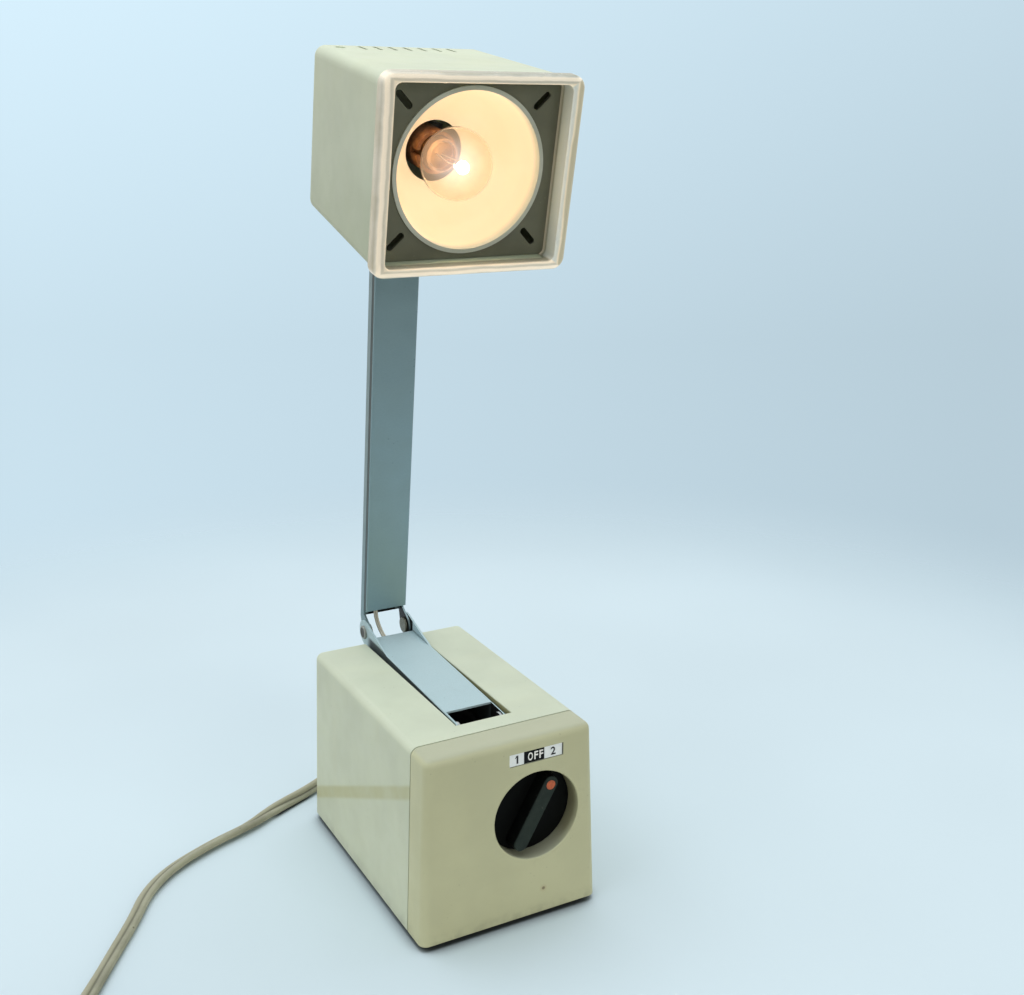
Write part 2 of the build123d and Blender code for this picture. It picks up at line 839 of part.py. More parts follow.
def make_upper_arm_wire():
    """Supply wire in the rear channel, in front of its left lip."""
    start = upper_point(-upper_wire_x, upper_wire_from, wire_d)
    return rod(start, upper_point(-upper_wire_x, rear_top, wire_d), wire_radius)


def make_slide_stop():
    """Stop in the rear channel that the upper guide meets when the arm is drawn out."""
    start = guide_from + guide_spacing + guide_length + slide_travel + slide_clearance
    face = rear_flange_d + upper_sheet + slide_clearance
    outline = rectangle_between((start, face), (start + stop_length, rear_web_d))
    return extrude(upper_frame * outline, stop_width / 2, both=True)


def make_upper_arm_front_channel():
    """Sliding front channel: shallow flanges, and ears for the head at its top."""
    half = upper_width / 2
    back = front_web_d + front_flange
    root = rectangle_between((front_web_top, front_web_d), (front_web_top + front_flange, back))
    ear = Pos(head_pivot_s, head_pivot_d) * Circle(front_ear_radius)
    outline = hull(ear, root) + rectangle_between((front_from, front_web_d), (front_web_top, back))
    outline = outline - Pos(head_pivot_s, head_pivot_d) * Circle(pin_radius + pin_clearance)
    web = rectangle_between((front_from, front_web_d), (front_web_top, front_web_d + upper_sheet))
    channel = side_plates(upper_frame, outline, half - upper_sheet, half)
    channel = channel + extrude(upper_frame * web, half, both=True)
    bends = channel.edges().filter_by(GeomType.LINE).filter_by(
        lambda edge: abs(abs(edge.center().X) - half) < 0.01
        and edge.length > front_web_top / 2
        and (edge.center() - elbow).dot(upper_back) < front_web_d + 0.01
    )
    return fillet(bends, bend_radius)


def make_slide_guides():
    """Two moulded guides on the front channel, running behind the rear channel's lips."""
    half_neck = upper_width / 2 - rear_lip_reach - slide_clearance
    half_foot = upper_width / 2 - upper_sheet - slide_clearance
    face = rear_flange_d + upper_sheet + slide_clearance
    guides = []
    for n in range(2):
        low = guide_from + n * guide_spacing
        high = low + guide_length
        neck = rectangle_between((low, front_web_d + upper_sheet), (high, face))
        foot = rectangle_between((low, face), (high, face + guide_wall))
        guide = extrude(upper_frame * neck, half_neck, both=True)
        guides.append(guide + extrude(upper_frame * foot, half_foot, both=True))
    return Compound(guides)


def make_slider_wire():
    """Wire carried up to the head by the front channel."""
    start = upper_point(upper_wire_x, slider_wire_from, wire_d)
    return rod(start, upper_point(upper_wire_x, slider_wire_to, wire_d), wire_radius)


def head_form(inset, front, radius):
    """The head's tapered box, set in from its outside, with rounded long and rear edges."""
    rear = head_depth - inset
    sections = []
    for y in (front, rear):
        share = (y - frame_depth) / (head_depth - frame_depth)
        width = shell_front_width + (shell_rear_width - shell_front_width) * share - 2 * inset
        height = shell_front_height + (shell_rear_height - shell_front_height) * share - 2 * inset
        sections.append(Plane((0, y, 0), x_dir=(1, 0, 0), z_dir=(0, 1, 0)) * Rectangle(width, height))
    form = loft(sections, ruled=True)
    rounded = form.edges().filter_by(lambda edge: edge.center().Y > front + 1)
    return fillet(rounded, radius)


def shell_half_height(y):
    """Half of the head's height at a distance behind the frame's front."""
    share = (y - frame_depth) / (head_depth - frame_depth)
    return (shell_front_height + (shell_rear_height - shell_front_height) * share) / 2


def shell_half_width(y):
    """Half of the head's width at a distance behind the frame's front."""
    share = (y - frame_depth) / (head_depth - frame_depth)
    return (shell_front_width + (shell_rear_width - shell_front_width) * share) / 2


def front_plane(y):
    """Plane across the head, facing back, at a distance behind the frame's front."""
    return Plane((0, y, 0), x_dir=(1, 0, 0), z_dir=(0, 1, 0))


def in_head(shape):
    """Place a shape drawn in the head's own axes: x across, y back, z up."""
    return head_frame.location * shape


def knuckle_screw_places():
    """Where the bracket under the head is screwed to the shell."""
    return [(x, pivot_y) for x in (-knuckle_screw_offset, knuckle_screw_offset)]


def make_head_shell():
    """Tapered head moulding, open in front, with vents on top and holes for its bracket."""
    shell = head_form(0, frame_depth, shell_edge_radius)
    shell = shell - head_form(shell_wall, frame_depth - shell_wall, shell_edge_radius - shell_wall)
    slot = extrude(SlotOverall(vent_slot_length, vent_slot_width, rotation=90), head_depth)
    for n in range(vent_slot_count):
        x = (n - (vent_slot_count - 1) / 2) * vent_slot_pitch
        shell = shell - Pos(x, vent_slot_y, 0) * slot
    dimple_z = shell_half_height(vent_slot_y) - dimple_depth
    shell = shell - Pos(dimple_x, vent_slot_y, dimple_z) * Cylinder(
        dimple_radius, head_depth, align=(Align.CENTER, Align.CENTER, Align.MIN)
    )
    for x, y in knuckle_screw_places():
        shell = shell - rod((x, y, -head_depth), (x, y, 0), screw_radius + screw_clearance)
    shell = shell - rod((0, lead_hole_y, -head_depth), (0, lead_hole_y, 0), lead_hole_radius)
    return in_head(shell)


def make_front_frame():
    """Clear front frame: a broad rounded lip and a sleeve that reaches back to the baffle."""
    lip = extrude(front_plane(0) * RectangleRounded(frame_width, frame_height, frame_corner), frame_depth)
    lip = fillet(lip.faces().sort_by(Axis.Y)[0].edges(), frame_front_edge)
    width = 2 * (shell_half_width(baffle_y) - shell_wall - sleeve_clearance)
    height = 2 * (shell_half_height(baffle_y) - shell_wall - sleeve_clearance)
    sleeve = RectangleRounded(width, height, shell_edge_radius - shell_wall)
    frame = lip + extrude(front_plane(frame_depth) * sleeve, baffle_y - frame_depth)
    opening = RectangleRounded(opening_width, opening_height, opening_corner)
    frame = frame - extrude(front_plane(0) * opening, baffle_y)
    mouth = frame.faces().sort_by(Axis.Y)[0].inner_wires()[0].edges()
    return in_head(fillet(mouth, opening_edge))


def make_baffle_plate():
    """Flat baffle with the reflector's hole and four slanting slots in its corners."""
    y = baffle_y + baffle_wall
    width = 2 * (shell_half_width(y) - shell_wall - sleeve_clearance)
    height = 2 * (shell_half_height(y) - shell_wall - sleeve_clearance)
    outline = RectangleRounded(width, height, shell_edge_radius - shell_wall)
    outline = outline - Circle(rim_radius - rim_height)
    for side in (-1, 1):
        for end in (-1, 1):
            place = Pos(side * baffle_slot_x, end * baffle_slot_z)
            turn = 45 * side * end
            outline = outline - place * SlotOverall(baffle_slot_length, baffle_slot_width, rotation=turn)
    plane = Plane((0, baffle_y, 0), x_dir=(1, 0, 0), z_dir=(0, -1, 0))
    return in_head(extrude(plane * outline, -baffle_wall))


def make_reflector():
    """Spun bowl with a flat rim on the baffle and a round hole behind the bulb."""
    rim_front = baffle_y - rim_height
    rear = rim_front + bowl_depth
    mid = Vector(bowl_mid_radius, bowl_mid_y)
    inner = ThreePointArc((bowl_radius, rim_front), mid, (bowl_hole_radius, rear))
    skin = bowl_wall / sqrt(2)
    outer = ThreePointArc(
        (bowl_radius + bowl_wall, baffle_y),
        mid + Vector(skin, skin),
        (bowl_hole_radius, rear + bowl_wall),
    )
    lines = [
        Line((bowl_hole_radius, rear), (bowl_hole_radius, rear + bowl_wall)),
        Line((bowl_radius + bowl_wall, baffle_y), (rim_radius, baffle_y)),
        Line((rim_radius, baffle_y), (rim_radius, rim_front)),
        Line((rim_radius, rim_front), (bowl_radius, rim_front)),
    ]
    section = make_face([inner, outer] + lines)
    return in_head(revolve(section, Axis.Y))


def make_socket_shell():
    """Bayonet lampholder tube with two slots for the bulb's pins."""
    inner = cap_radius + cap_clearance
    tube = Circle(socket_radius) - Circle(inner)
    tube = extrude(front_plane(socket_y) * tube, socket_length)
    slot_half = cap_pin_radius + slot_pin_clearance
    slot_end = cap_pin_y + slot_half
    slot = block((-socket_radius, socket_y - 1, -slot_half), (socket_radius, slot_end, slot_half))
    tube = tube - slot
    return in_head(tube)


def make_socket_base():
    """Insulating base of the lampholder."""
    y = socket_y + socket_length
    disc = extrude(front_plane(y) * Circle(socket_radius), socket_base_height)
    for side in (-1, 1):
        disc = disc - rod(
            (side * contact_offset, y - 1, 0), (side * contact_offset, y + head_depth, 0), contact_radius
        )
    return in_head(disc)


def make_socket_contacts():
    """Two spring contacts in the lampholder's base."""
    y = socket_y + socket_length
    tip = cap_y + cap_length + contact_gap
    pins = []
    for side in (-1, 1):
        x = side * contact_offset
        pin = rod((x, tip, 0), (x, y + socket_base_height, 0), contact_radius)
        pins.append(in_head(pin))
    return Compound(pins)


def make_socket_bracket():
    """Bridge that carries the lampholder from the head's rear wall."""
    y = socket_y + socket_length + socket_base_height
    rear = head_depth - shell_wall
    half, tall = bridge_width / 2, bridge_height / 2
    bridge = block((-half, y, -tall), (half, rear, tall))
    inside = half - bridge_wall
    bridge = bridge - block((-inside, y + bridge_wall, -tall - 1), (inside, head_depth, tall + 1))
    for side in (-1, 1):
        foot_x = sorted((side * inside, side * (half + bridge_foot)))
        bridge = bridge + block((foot_x[0], rear - bridge_wall, -tall), (foot_x[1], rear, tall))
    bridge = bridge - rod((0, y - 1, 0), (0, y + bridge_wall, 0), bridge_hole_radius)
    return in_head(bridge)


def make_bulb_glass():
    """Clear globe with a neck that goes into the cap, open at its end."""
    neck_y = cap_y + cap_grip_depth
    reach = sqrt(globe_radius**2 - neck_radius**2)
    inner_globe, inner_neck = globe_radius - glass_wall, neck_radius - glass_wall
    inner_reach = sqrt(inner_globe**2 - inner_neck**2)
    arcs = [
        ThreePointArc(
            (0, globe_y - globe_radius), (globe_radius, globe_y), (neck_radius, globe_y + reach)
        ),
        ThreePointArc(
            (0, globe_y - inner_globe), (inner_globe, globe_y), (inner_neck, globe_y + inner_reach)
        ),
    ]
    lines = [
        Line((neck_radius, globe_y + reach), (neck_radius, neck_y)),
        Line((neck_radius, neck_y), (inner_neck, neck_y)),
        Line((inner_neck, neck_y), (inner_neck, globe_y + inner_reach)),
        Line((0, globe_y - globe_radius), (0, globe_y - inner_globe)),
    ]
    return in_head(revolve(make_face(arcs + lines), Axis.Y))


def make_bulb_cap():
    """Metal bayonet cap with two pins."""
    grip = neck_radius + cap_grip_gap
    floor = cap_y + cap_grip_depth + cap_grip_gap
    end = cap_y + cap_length
    points = [(grip, cap_y), (cap_radius, cap_y), (cap_radius, end), (0, end), (0, floor), (grip, floor)]
    cap = revolve(make_face(Polyline(*points, close=True)), Axis.Y)
    reach = cap_radius + cap_pin_reach
    cap = cap + rod((-reach, cap_pin_y, 0), (reach, cap_pin_y, 0), cap_pin_radius)
    return in_head(cap)


def make_bulb_filament():
    """Filament between its two support wires, standing on the cap's stem."""
    floor = cap_y + cap_grip_depth + cap_grip_gap
    half = filament_length / 2
    wires = rod((-half, filament_y, 0), (half, filament_y, 0), filament_radius)
    for side in (-1, 1):
        x = side * (half - filament_radius)
        wires = wires + rod((x, filament_y, 0), (x, floor, 0), support_radius)
    return in_head(wires)


def knuckle_half():
    """Half of the head bracket's width: its cheeks stand inside the front channel's ears."""
    return upper_width / 2 - upper_sheet - knuckle_side_gap


def make_head_bracket():
    """Folded bracket under the head: a plate on the shell and two cheeks for the tilt pin."""
    half = knuckle_half()
    solid = head_form(0, frame_depth, shell_edge_radius)
    side = Plane((0, 0, 0), x_dir=(0, 1, 0), z_dir=(1, 0, 0))
    plate_z = -shell_half_height(pivot_y)
    reach = knuckle_length / 2
    top = rectangle_between(
        (pivot_y - reach, plate_z - knuckle_plate), (pivot_y + reach, plate_z + knuckle_plate)
    )
    cheek = hull(Pos(pivot_y, pivot_z) * Circle(knuckle_ear_radius), top)
    cheek = cheek - Pos(pivot_y, pivot_z) * Circle(pin_radius)
    plate = solid.moved(Location((0, 0, -knuckle_plate))) & block(
        (-half, pivot_y - reach, -head_depth), (half, pivot_y + reach, 0)
    )
    bracket = side_plates(side, cheek, half - knuckle_wall, half) + plate - solid
    for x, y in knuckle_screw_places():
        bracket = bracket - rod((x, y, -head_depth), (x, y, 0), screw_radius + screw_clearance)
    bracket = bracket - rod((0, lead_hole_y, -head_depth), (0, lead_hole_y, 0), lead_hole_radius)
    return in_head(bracket)


def make_head_bracket_screws():
    """Screws from inside the head into its bracket."""
    inside = -shell_half_height(pivot_y) + shell_wall + 2 * screw_clearance
    reach = shell_wall + knuckle_plate
    return Compound([in_head(screw((x, y, inside), (0, 0, -1), reach)) for x, y in knuckle_screw_places()])


def make_head_pivot_pin():
    """Pin on which the head tilts, held in its bracket."""
    return headed_pin(
        head_pivot, upper_width / 2 + pin_head_gap, pin_radius, pin_head_radius, pin_head_height
    )


def head_point(x, y, z):
    """A point of the head's own axes, in the lamp's axes."""
    return Vector(x, 0, 0) + head_origin + head_back * y + head_up * z


def make_head_lead():
    """Wire from the sliding channel past the tilt pin into the head."""
    start = upper_point(upper_wire_x, slider_wire_to, wire_d)
    floor = -shell_half_height(lead_hole_y) + shell_wall
    route = [
        start,
        start + upper_along * head_lead_rise,
        head_point(head_lead_back, lead_hole_y, pivot_z - head_lead_rise / 2),
        head_point(0, lead_hole_y, floor - shell_wall - knuckle_plate),
        head_point(0, lead_hole_y, floor + head_lead_rise),
    ]
    path = FilletPolyline(*route, radius=head_lead_radius)
    return sweep(Plane(path ^ 0) * Circle(wire_radius), path=path)


def make_cord_gland():
    """Cord gland: flange inside the rear wall, collar outside it and a tapered sleeve."""
    wall_in = half_depth - base_wall
    points = [
        (0, wall_in - gland_flange - gland_tail),
        (gland_tip_radius, wall_in - gland_flange - gland_tail),
        (gland_tip_radius + gland_tail_wall, wall_in - gland_flange),
        (gland_flange_radius, wall_in - gland_flange),
        (gland_flange_radius, wall_in),
        (gland_hole_radius - gland_clearance, wall_in),
        (gland_hole_radius - gland_clearance, half_depth),
        (gland_collar_radius, half_depth),
        (gland_collar_radius, half_depth + gland_collar),
        (gland_tip_radius, half_depth + gland_reach),
        (0, half_depth + gland_reach),
    ]
    turned = revolve(make_face(Polyline(*points, close=True)), Axis.Y)
    return Pos(gland_x, 0, gland_z) * turned


# The coil lies outside the picture, past its lower edge. Its axes are the picture's directions.
gland_tip = Vector(gland_x, half_depth + gland_reach, 0)
view_edge = gland_tip + Vector(view_edge_x, view_edge_y, 0)
view_across = Vector(cos(radians(view_turn)), sin(radians(view_turn)), 0)
view_out = Vector(view_across.Y, -view_across.X, 0)
coil_outer_radius = coil_inner_radius + coil_half_turns_in * coil_pitch / 2
coil_left_centre = -coil_pitch / 4
coil_start_x = coil_left_centre - coil_outer_radius
coil_origin = (
    view_edge
    + view_out * coil_view_offset
    + view_across * (coil_side_offset - coil_start_x)
)
coil_frame = Plane((coil_origin.X, coil_origin.Y, coil_z), x_dir=view_across, z_dir=(0, 0, 1))


def coil_point(x, y, z=0.0):
    """A point of the coil's own axes, in the lamp's axes."""
    return coil_origin + view_across * x - view_out * y + Vector(0, 0, coil_z + z)


# Bends of the free flex: across and back from the gland's tip, and height above the floor
cord_bends = [
    (0.0, 0.0, gland_z),
    (0.0, 14.6, gland_z),
    (-8.4, 26.1, 11.4),
    (-21.9, 30.5, 7.6),
    (-41.3, 27.2, 4.8),
    (-64.0, 12.75, 3.4),
    (-90.0, 1.65, 3.3),
    (-106.0, -8.15, 3.3),
    (-128.0, -15.35, 3.3),
    (-153.0, -28.15, 3.3),
    (-169.0, -43.95, 3.3),
    (-179.0, -62.55, 3.3),
    (-193.0, -84.35, 3.3),
    (-208.0, -108.75, 3.8),
]
cord_route = [gland_tip + Vector(*bend) for bend in cord_bends]
cord_route.append(coil_point(coil_start_x, 2 * cord_radius + coil_lead))
cord_route.append(coil_point(coil_start_x, 2 * cord_radius))


def route_radii(points):
    """Bend radius at each inner point: as large as its two runs allow."""
    radii = []
    for before, here, after in zip(points, points[1:], points[2:]):
        run = min((here - before).length, (after - here).length)
        turn = radians((here - before).get_angle(after - here))
        radii.append(0.45 * run / tan(turn / 2))
    return radii


def make_power_cord():
    """Free stretch of the twin flex, from the gland to its coil."""
    radii = route_radii(cord_route)
    print("cord radii", [round(r, 1) for r in radii])
    path = FilletPolyline(*cord_route, radius=radii)
    tube = sweep(Plane(path ^ 0) * Circle(cord_radius), path=path)
    share = tube.volume / (pi * cord_radius**2 * path.length)
    print("cord length", round(path.length, 1), "volume share", round(share, 4))
    return tube


def coil_path():
    """Spiral in along the floor, climb a layer in the innermost half turn, and spiral out above."""
    step = coil_pitch / 2
    tail = 2 * cord_radius
    x, radius, side, z = coil_start_x, coil_outer_radius, -1, 0.0
    pieces = [Line((x, tail, z), (x, 0, z))]
    for n in range(coil_half_turns_in):
        centre = x - side * radius
        pieces.append(ThreePointArc((x, 0, z), (centre, side * radius, z), (centre - side * radius, 0, z)))
        x, radius, side = centre - side * radius, radius - step, -side
    centre = x - side * radius
    bulge = sqrt(radius**2 + coil_layer**2 / 4)
    top = (centre, side * bulge, z + coil_layer / 2)
    pieces.append(TangentArc((x, 0, z), top, tangent=(0, side, 0)))
    x = centre - side * radius
    z = z + coil_layer
    pieces.append(TangentArc(top, (x, 0, z), tangent=pieces[-1] % 1))
    for n in range(coil_half_turns_out):
        radius, side = radius + step, -side
        centre = x - side * radius
        pieces.append(ThreePointArc((x, 0, z), (centre, side * radius, z), (centre - side * radius, 0, z)))
        x = centre - side * radius
    pieces.append(Line((x, 0, z), (x, -coil_tail, z)))
    return Wire(pieces), x, z


def least_gap(path):
    """Least gap between parts of the coil that lie further apart along it than a half turn."""
    count = 900
    points = [path @ (n / count) for n in range(count + 1)]
    skip = int(count * pi * coil_inner_radius / path.length)
    gap = min(
        (points[a] - points[b]).length
        for a in range(count + 1)
        for b in range(a + skip, count + 1)
    )
    return gap - 2 * cord_radius


def make_cord_coil():
    """The rest of the flex, wound into a neat round coil of two layers."""
    path, x, z = coil_path()
    print("coil length", round(path.length, 1), "least gap", round(least_gap(path), 2))
    tube = sweep(Plane(path ^ 0) * Circle(cord_radius), path=path)
    return coil_frame.location * tube


def make_cord_tie():
    """Tie round one side of the coil."""
    inner_turn = coil_inner_radius + coil_pitch / 2
    reach = tie_width / 2 + coil_pitch / 2
    sag = inner_turn - sqrt(inner_turn**2 - reach**2)
    low = inner_turn - cord_radius - tie_clearance - sag
    high = coil_outer_radius + cord_radius + tie_clearance
    bottom = -cord_radius - tie_clearance
    top = coil_layer + cord_radius + tie_clearance
    middle = (coil_pitch / 4, -(low + high) / 2, (bottom + top) / 2)
    plane = Plane(middle, x_dir=(0, 1, 0), z_dir=(1, 0, 0))
    inner = RectangleRounded(high - low, top - bottom, cord_radius)
    outer = RectangleRounded(high - low + 2 * tie_wall, top - bottom + 2 * tie_wall, cord_radius + tie_wall)
    return coil_frame.location * extrude(plane * (outer - inner), tie_width / 2, both=True)


def plug_plane(distance):
    """Plane across the plug, facing away from the cord, at a distance from the cord's end."""
    path, x, z = coil_path()
    return Plane((x, -coil_tail - distance, z), x_dir=(1, 0, 0), z_dir=(0, -1, 0))


def make_plug_body():
    """Moulded plug: a neck that widens into a flat-sided body."""
    neck = 2 * (cord_radius + plug_neck_wall)
    wide = plug_plane(plug_neck) * RectangleRounded(plug_width, plug_height, plug_corner)
    body = loft([plug_plane(0) * RectangleRounded(neck, neck, neck / 3), wide])
    body = body + extrude(wide, plug_length - plug_neck)
    front = body.faces().sort_by(Axis.Y)[0]
    return coil_frame.location * fillet(front.edges(), plug_edge_radius)


def make_plug_pins():
    """Two flat blades on the plug's face."""
    blades = []
    for side in (-1, 1):
        blade = Rectangle(blade_wall, blade_width)
        blade = extrude(plug_plane(plug_length) * Pos(side * blade_spacing / 2, 0) * blade, blade_length)
        tip = blade.edges().filter_by(Axis.X).sort_by(Axis.Y)[:2]
        blades.append(coil_frame.location * fillet(tip, blade_width / 4))
    return Compound(blades)


makers = {
    "base_housing": make_base_housing,
    "front_cover": make_front_cover,
    "base_plate": make_base_plate,
    "rubber_feet": make_rubber_feet,
    "base_screws": make_base_screws,
    "transformer_core": make_transformer_core,
    "transformer_bobbin": make_transformer_bobbin,
    "transformer_strap": make_transformer_strap,
    "transformer_screws": make_transformer_screws,
    "switch_body": make_switch_body,
    "switch_nut": make_switch_nut,
    "switch_terminals": make_switch_terminals,
    "label_plate": make_label_plate,
    "knob": make_knob,
    "knob_indicator": make_knob_indicator,
    "switch_shaft": make_switch_shaft,
    "arm_bracket": make_arm_bracket,
    "arm_bracket_screws": make_arm_bracket_screws,
    "arm_pivot_pin": make_arm_pivot_pin,
    "lower_arm_channel": make_lower_arm_channel,
    "lower_arm_wire": make_lower_arm_wire,
    "elbow_rivets": make_elbow_rivets,
    "elbow_wire": make_elbow_wire,
    "upper_arm_rear_channel": make_upper_arm_rear_channel,
    "upper_arm_wire": make_upper_arm_wire,
    "slide_stop": make_slide_stop,
    "upper_arm_front_channel": make_upper_arm_front_channel,
    "slide_guides": make_slide_guides,
    "slider_wire": make_slider_wire,
    "head_shell": make_head_shell,
    "front_frame": make_front_frame,
    "baffle_plate": make_baffle_plate,
    "reflector": make_reflector,
    "socket_shell": make_socket_shell,
    "socket_base": make_socket_base,
    "socket_contacts": make_socket_contacts,
    "socket_bracket": make_socket_bracket,
    "bulb_glass": make_bulb_glass,
    "bulb_cap": make_bulb_cap,
    "bulb_filament": make_bulb_filament,
    "head_bracket": make_head_bracket,
    "head_bracket_screws": make_head_bracket_screws,
    "head_pivot_pin": make_head_pivot_pin,
    "head_lead": make_head_lead,
    "cord_gland": make_cord_gland,
    "power_cord": make_power_cord,
    "cord_coil": make_cord_coil,
    "cord_tie": make_cord_tie,
    "plug_body": make_plug_body,
    "plug_pins": make_plug_pins,
}
for node, maker in makers.items():
    save(node, maker())
save("transformer_primary", make_winding(-1))
save("transformer_secondary", make_winding(1))
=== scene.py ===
from math import cos, pi, radians, sin

import bpy
import numpy as np
from bpy.props import FloatProperty, FloatVectorProperty, PointerProperty
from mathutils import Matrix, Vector


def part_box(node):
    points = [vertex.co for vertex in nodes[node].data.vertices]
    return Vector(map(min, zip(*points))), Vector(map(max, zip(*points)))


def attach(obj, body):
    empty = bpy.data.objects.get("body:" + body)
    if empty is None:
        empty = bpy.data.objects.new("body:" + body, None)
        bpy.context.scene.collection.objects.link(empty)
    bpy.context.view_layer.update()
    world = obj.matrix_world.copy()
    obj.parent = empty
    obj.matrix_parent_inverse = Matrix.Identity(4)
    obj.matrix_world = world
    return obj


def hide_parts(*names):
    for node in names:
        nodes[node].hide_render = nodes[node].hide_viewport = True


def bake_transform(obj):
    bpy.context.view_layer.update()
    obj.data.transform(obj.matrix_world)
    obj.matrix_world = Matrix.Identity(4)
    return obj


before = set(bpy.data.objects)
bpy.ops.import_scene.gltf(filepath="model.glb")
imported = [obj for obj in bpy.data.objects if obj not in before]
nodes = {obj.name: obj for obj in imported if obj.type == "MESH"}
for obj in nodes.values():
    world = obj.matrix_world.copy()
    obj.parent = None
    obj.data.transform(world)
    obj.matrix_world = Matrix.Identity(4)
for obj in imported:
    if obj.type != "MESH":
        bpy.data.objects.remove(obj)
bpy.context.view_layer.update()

bl_info = {
    "name": "Telescopic table lamp",
    "version": (1, 0, 0),
    "blender": (4, 5, 0),
    "location": "3D View > Sidebar > Lamp",
    "description": "Dresses the lamp's solids: cord, wires, dial figures, bulb, finishes and stage",
    "category": "Object",
}


def sloping_axes(angle):
    """Two directions square to x: one at an angle above y, and one at the same angle behind z."""
    return np.array([0.0, cos(angle), sin(angle)]), np.array([0.0, -sin(angle), cos(angle)])


# Places of the lamp, in metres, as in the part's source
shift_y = -0.0047125
base_front_y = -0.06975 + shift_y
base_rear_y = 0.06975 + shift_y
slot_half_width = 0.0180
slot_bottom_z = 0.0745
slot_top_z = 0.0945
knob_centre = (0.0134, 0.0547)
pit_centre = (0.0170, 0.0152)
across = np.array([1.0, 0.0, 0.0])
upright = np.array([0.0, 0.0, 1.0])
head_origin = np.array([0.0, -0.04291 + shift_y, 0.33922])
head_tilt = radians(12.6)
head_back, head_up = sloping_axes(head_tilt)
lower_start = np.array([0.0, -0.0265 + shift_y, 0.0941])
lower_slope = radians(2.5)
lower_along, lower_up = sloping_axes(lower_slope)
elbow = lower_start + 0.0993 * lower_along + 0.0007 * lower_up
upper_back, upper_along = sloping_axes(radians(8.4))
gland_tip = np.array([0.0240, 0.07875 + shift_y, 0.0])
coil_middle = np.array([-0.17686, -0.11046 + shift_y, 0.0044])
coil_turn = radians(-28.4)
coil_across = np.array([cos(coil_turn), sin(coil_turn), 0.0])
coil_ahead = np.array([-sin(coil_turn), cos(coil_turn), 0.0])
frame_half_width = 0.04555
frame_half_height = 0.0414
frame_side_lip = 0.00545
frame_level_lip = 0.0039
frame_sleeve_depth = 0.012

# Camera and stage
camera_place = (-0.2459, -0.5248 + shift_y, 0.3600)
camera_aim = (0.4566, 0.8444, -0.2800)
sensor_width = 36.0
focal_length = sensor_width * 1275.25 / 1024
picture_right = (0.8797, -0.4756, 0.0)
picture_up = (0.1332, 0.2463, 0.9600)
floor_reach = 8.0
floor_lines = 61
floor_level = -0.00005
cool_light = (0.94, 0.985, 1.0)

# Lights: name, place, target, size, power and colour
stage_lights = (
    ("overhead", (-0.25, 0.10, 1.55), (0, 0, 0.1), 2.1, 21.2, cool_light),
    ("right_fill", (1.3, 0.25, 1.0), (0.1, 0, 0), 1.2, 3.0, cool_light),
    ("left_fill", (-1.3, -0.35, 0.06), (0, 0, 0.04), 0.7, 1.6, (1.0, 1.0, 0.96)),
    ("front_fill", (0.25, -1.7, 0.6), (0, 0, 0.10), 1.0, 6.5, (1.0, 0.98, 0.90)),
)

# Flex: its bends from the gland, lengths along it with its turn about itself there, and its coil
flex_bends = (
    (0.0, 0.0, 0.0140),
    (0.0, 0.0146, 0.0140),
    (-0.0084, 0.0261, 0.0100),
    (-0.0219, 0.0305, 0.0060),
    (-0.0413, 0.0272, 0.0042),
    (-0.0640, 0.01275, 0.0035),
    (-0.0900, 0.00165, 0.0033),
    (-0.1060, -0.00815, 0.0030),
    (-0.1280, -0.01535, 0.0028),
    (-0.1530, -0.02815, 0.0027),
    (-0.1690, -0.04395, 0.0025),
    (-0.1790, -0.06255, 0.0021),
    (-0.1930, -0.08435, 0.0020),
    (-0.2080, -0.10875, 0.0026),
)
flex_stations = (0.0, 0.100, 0.138, 0.175, 0.215, 0.270, 0.350)
flex_turns = (1.35, 1.20, -0.40, -0.40, 0.10, 0.0, pi / 2)
coil_outer = 0.0452
coil_inner = 0.0200
coil_step = 0.0036
coil_layer = 0.0071
coil_entry_x = -0.0470
coil_entry_y = (0.0364, 0.0064)
coil_exit_y = -0.0340
half_turn_points = 8

# Wires: places across, along and up or back in the arms' own axes
lower_wire_x = -0.004
lower_wire_run = (0.004, 0.087)
lower_wire_up = -0.00195
upper_wire_x = -0.0055
upper_wire_start = 0.013
upper_wire_end = 0.204
upper_wire_back = 0.00345
upper_wire_jog = 0.005
channel_edge_x = 0.0083
slider_wire_run = (0.040, 0.2035)
lead_end = (0.0, 0.08556, -0.0307)

# Bulb, in the head's own axes: the filament's coil, the bends of its right support, and the light
filament_length = 0.006
filament_turns = 13
filament_back = 0.019
support_bends = (
    (0.0012, 0.0404, 0.0),
    (0.0014, 0.033, 0.0),
    (0.0034, 0.029, 0.0),
    (0.0030, 0.0192, 0.0007),
)
support_radius = 0.0003
bulb_light_place = (0.0, 0.017, 0.0)
bulb_light_power = 0.015
bulb_light_radius = 0.003

# Dial: start and end of the black field, as shares of the label's width
label_black = (0.273, 0.660)

# Figures: ink, name, text; place and width over the label's width; rise and height over the figures' height
dial_figures = (
    ("black", "figure_one", "1", 0.148, 0.033, 0.0, 1.0),
    ("white", "figure_off_o", "O", 0.395, 0.092, 0.0, 1.0),
    ("white", "figure_off_f", "F", 0.505, 0.074, 0.0, 1.0),
    ("white", "figure_off_end", "F", 0.602, 0.074, 0.0, 1.0),
    ("black", "figure_two", "2", 0.830, 0.094, 0.0, 1.0),
    ("black", "figure_one_flag", "/", 0.124, 0.045, 0.33, 0.34),
)
figure_relief = 0.00004

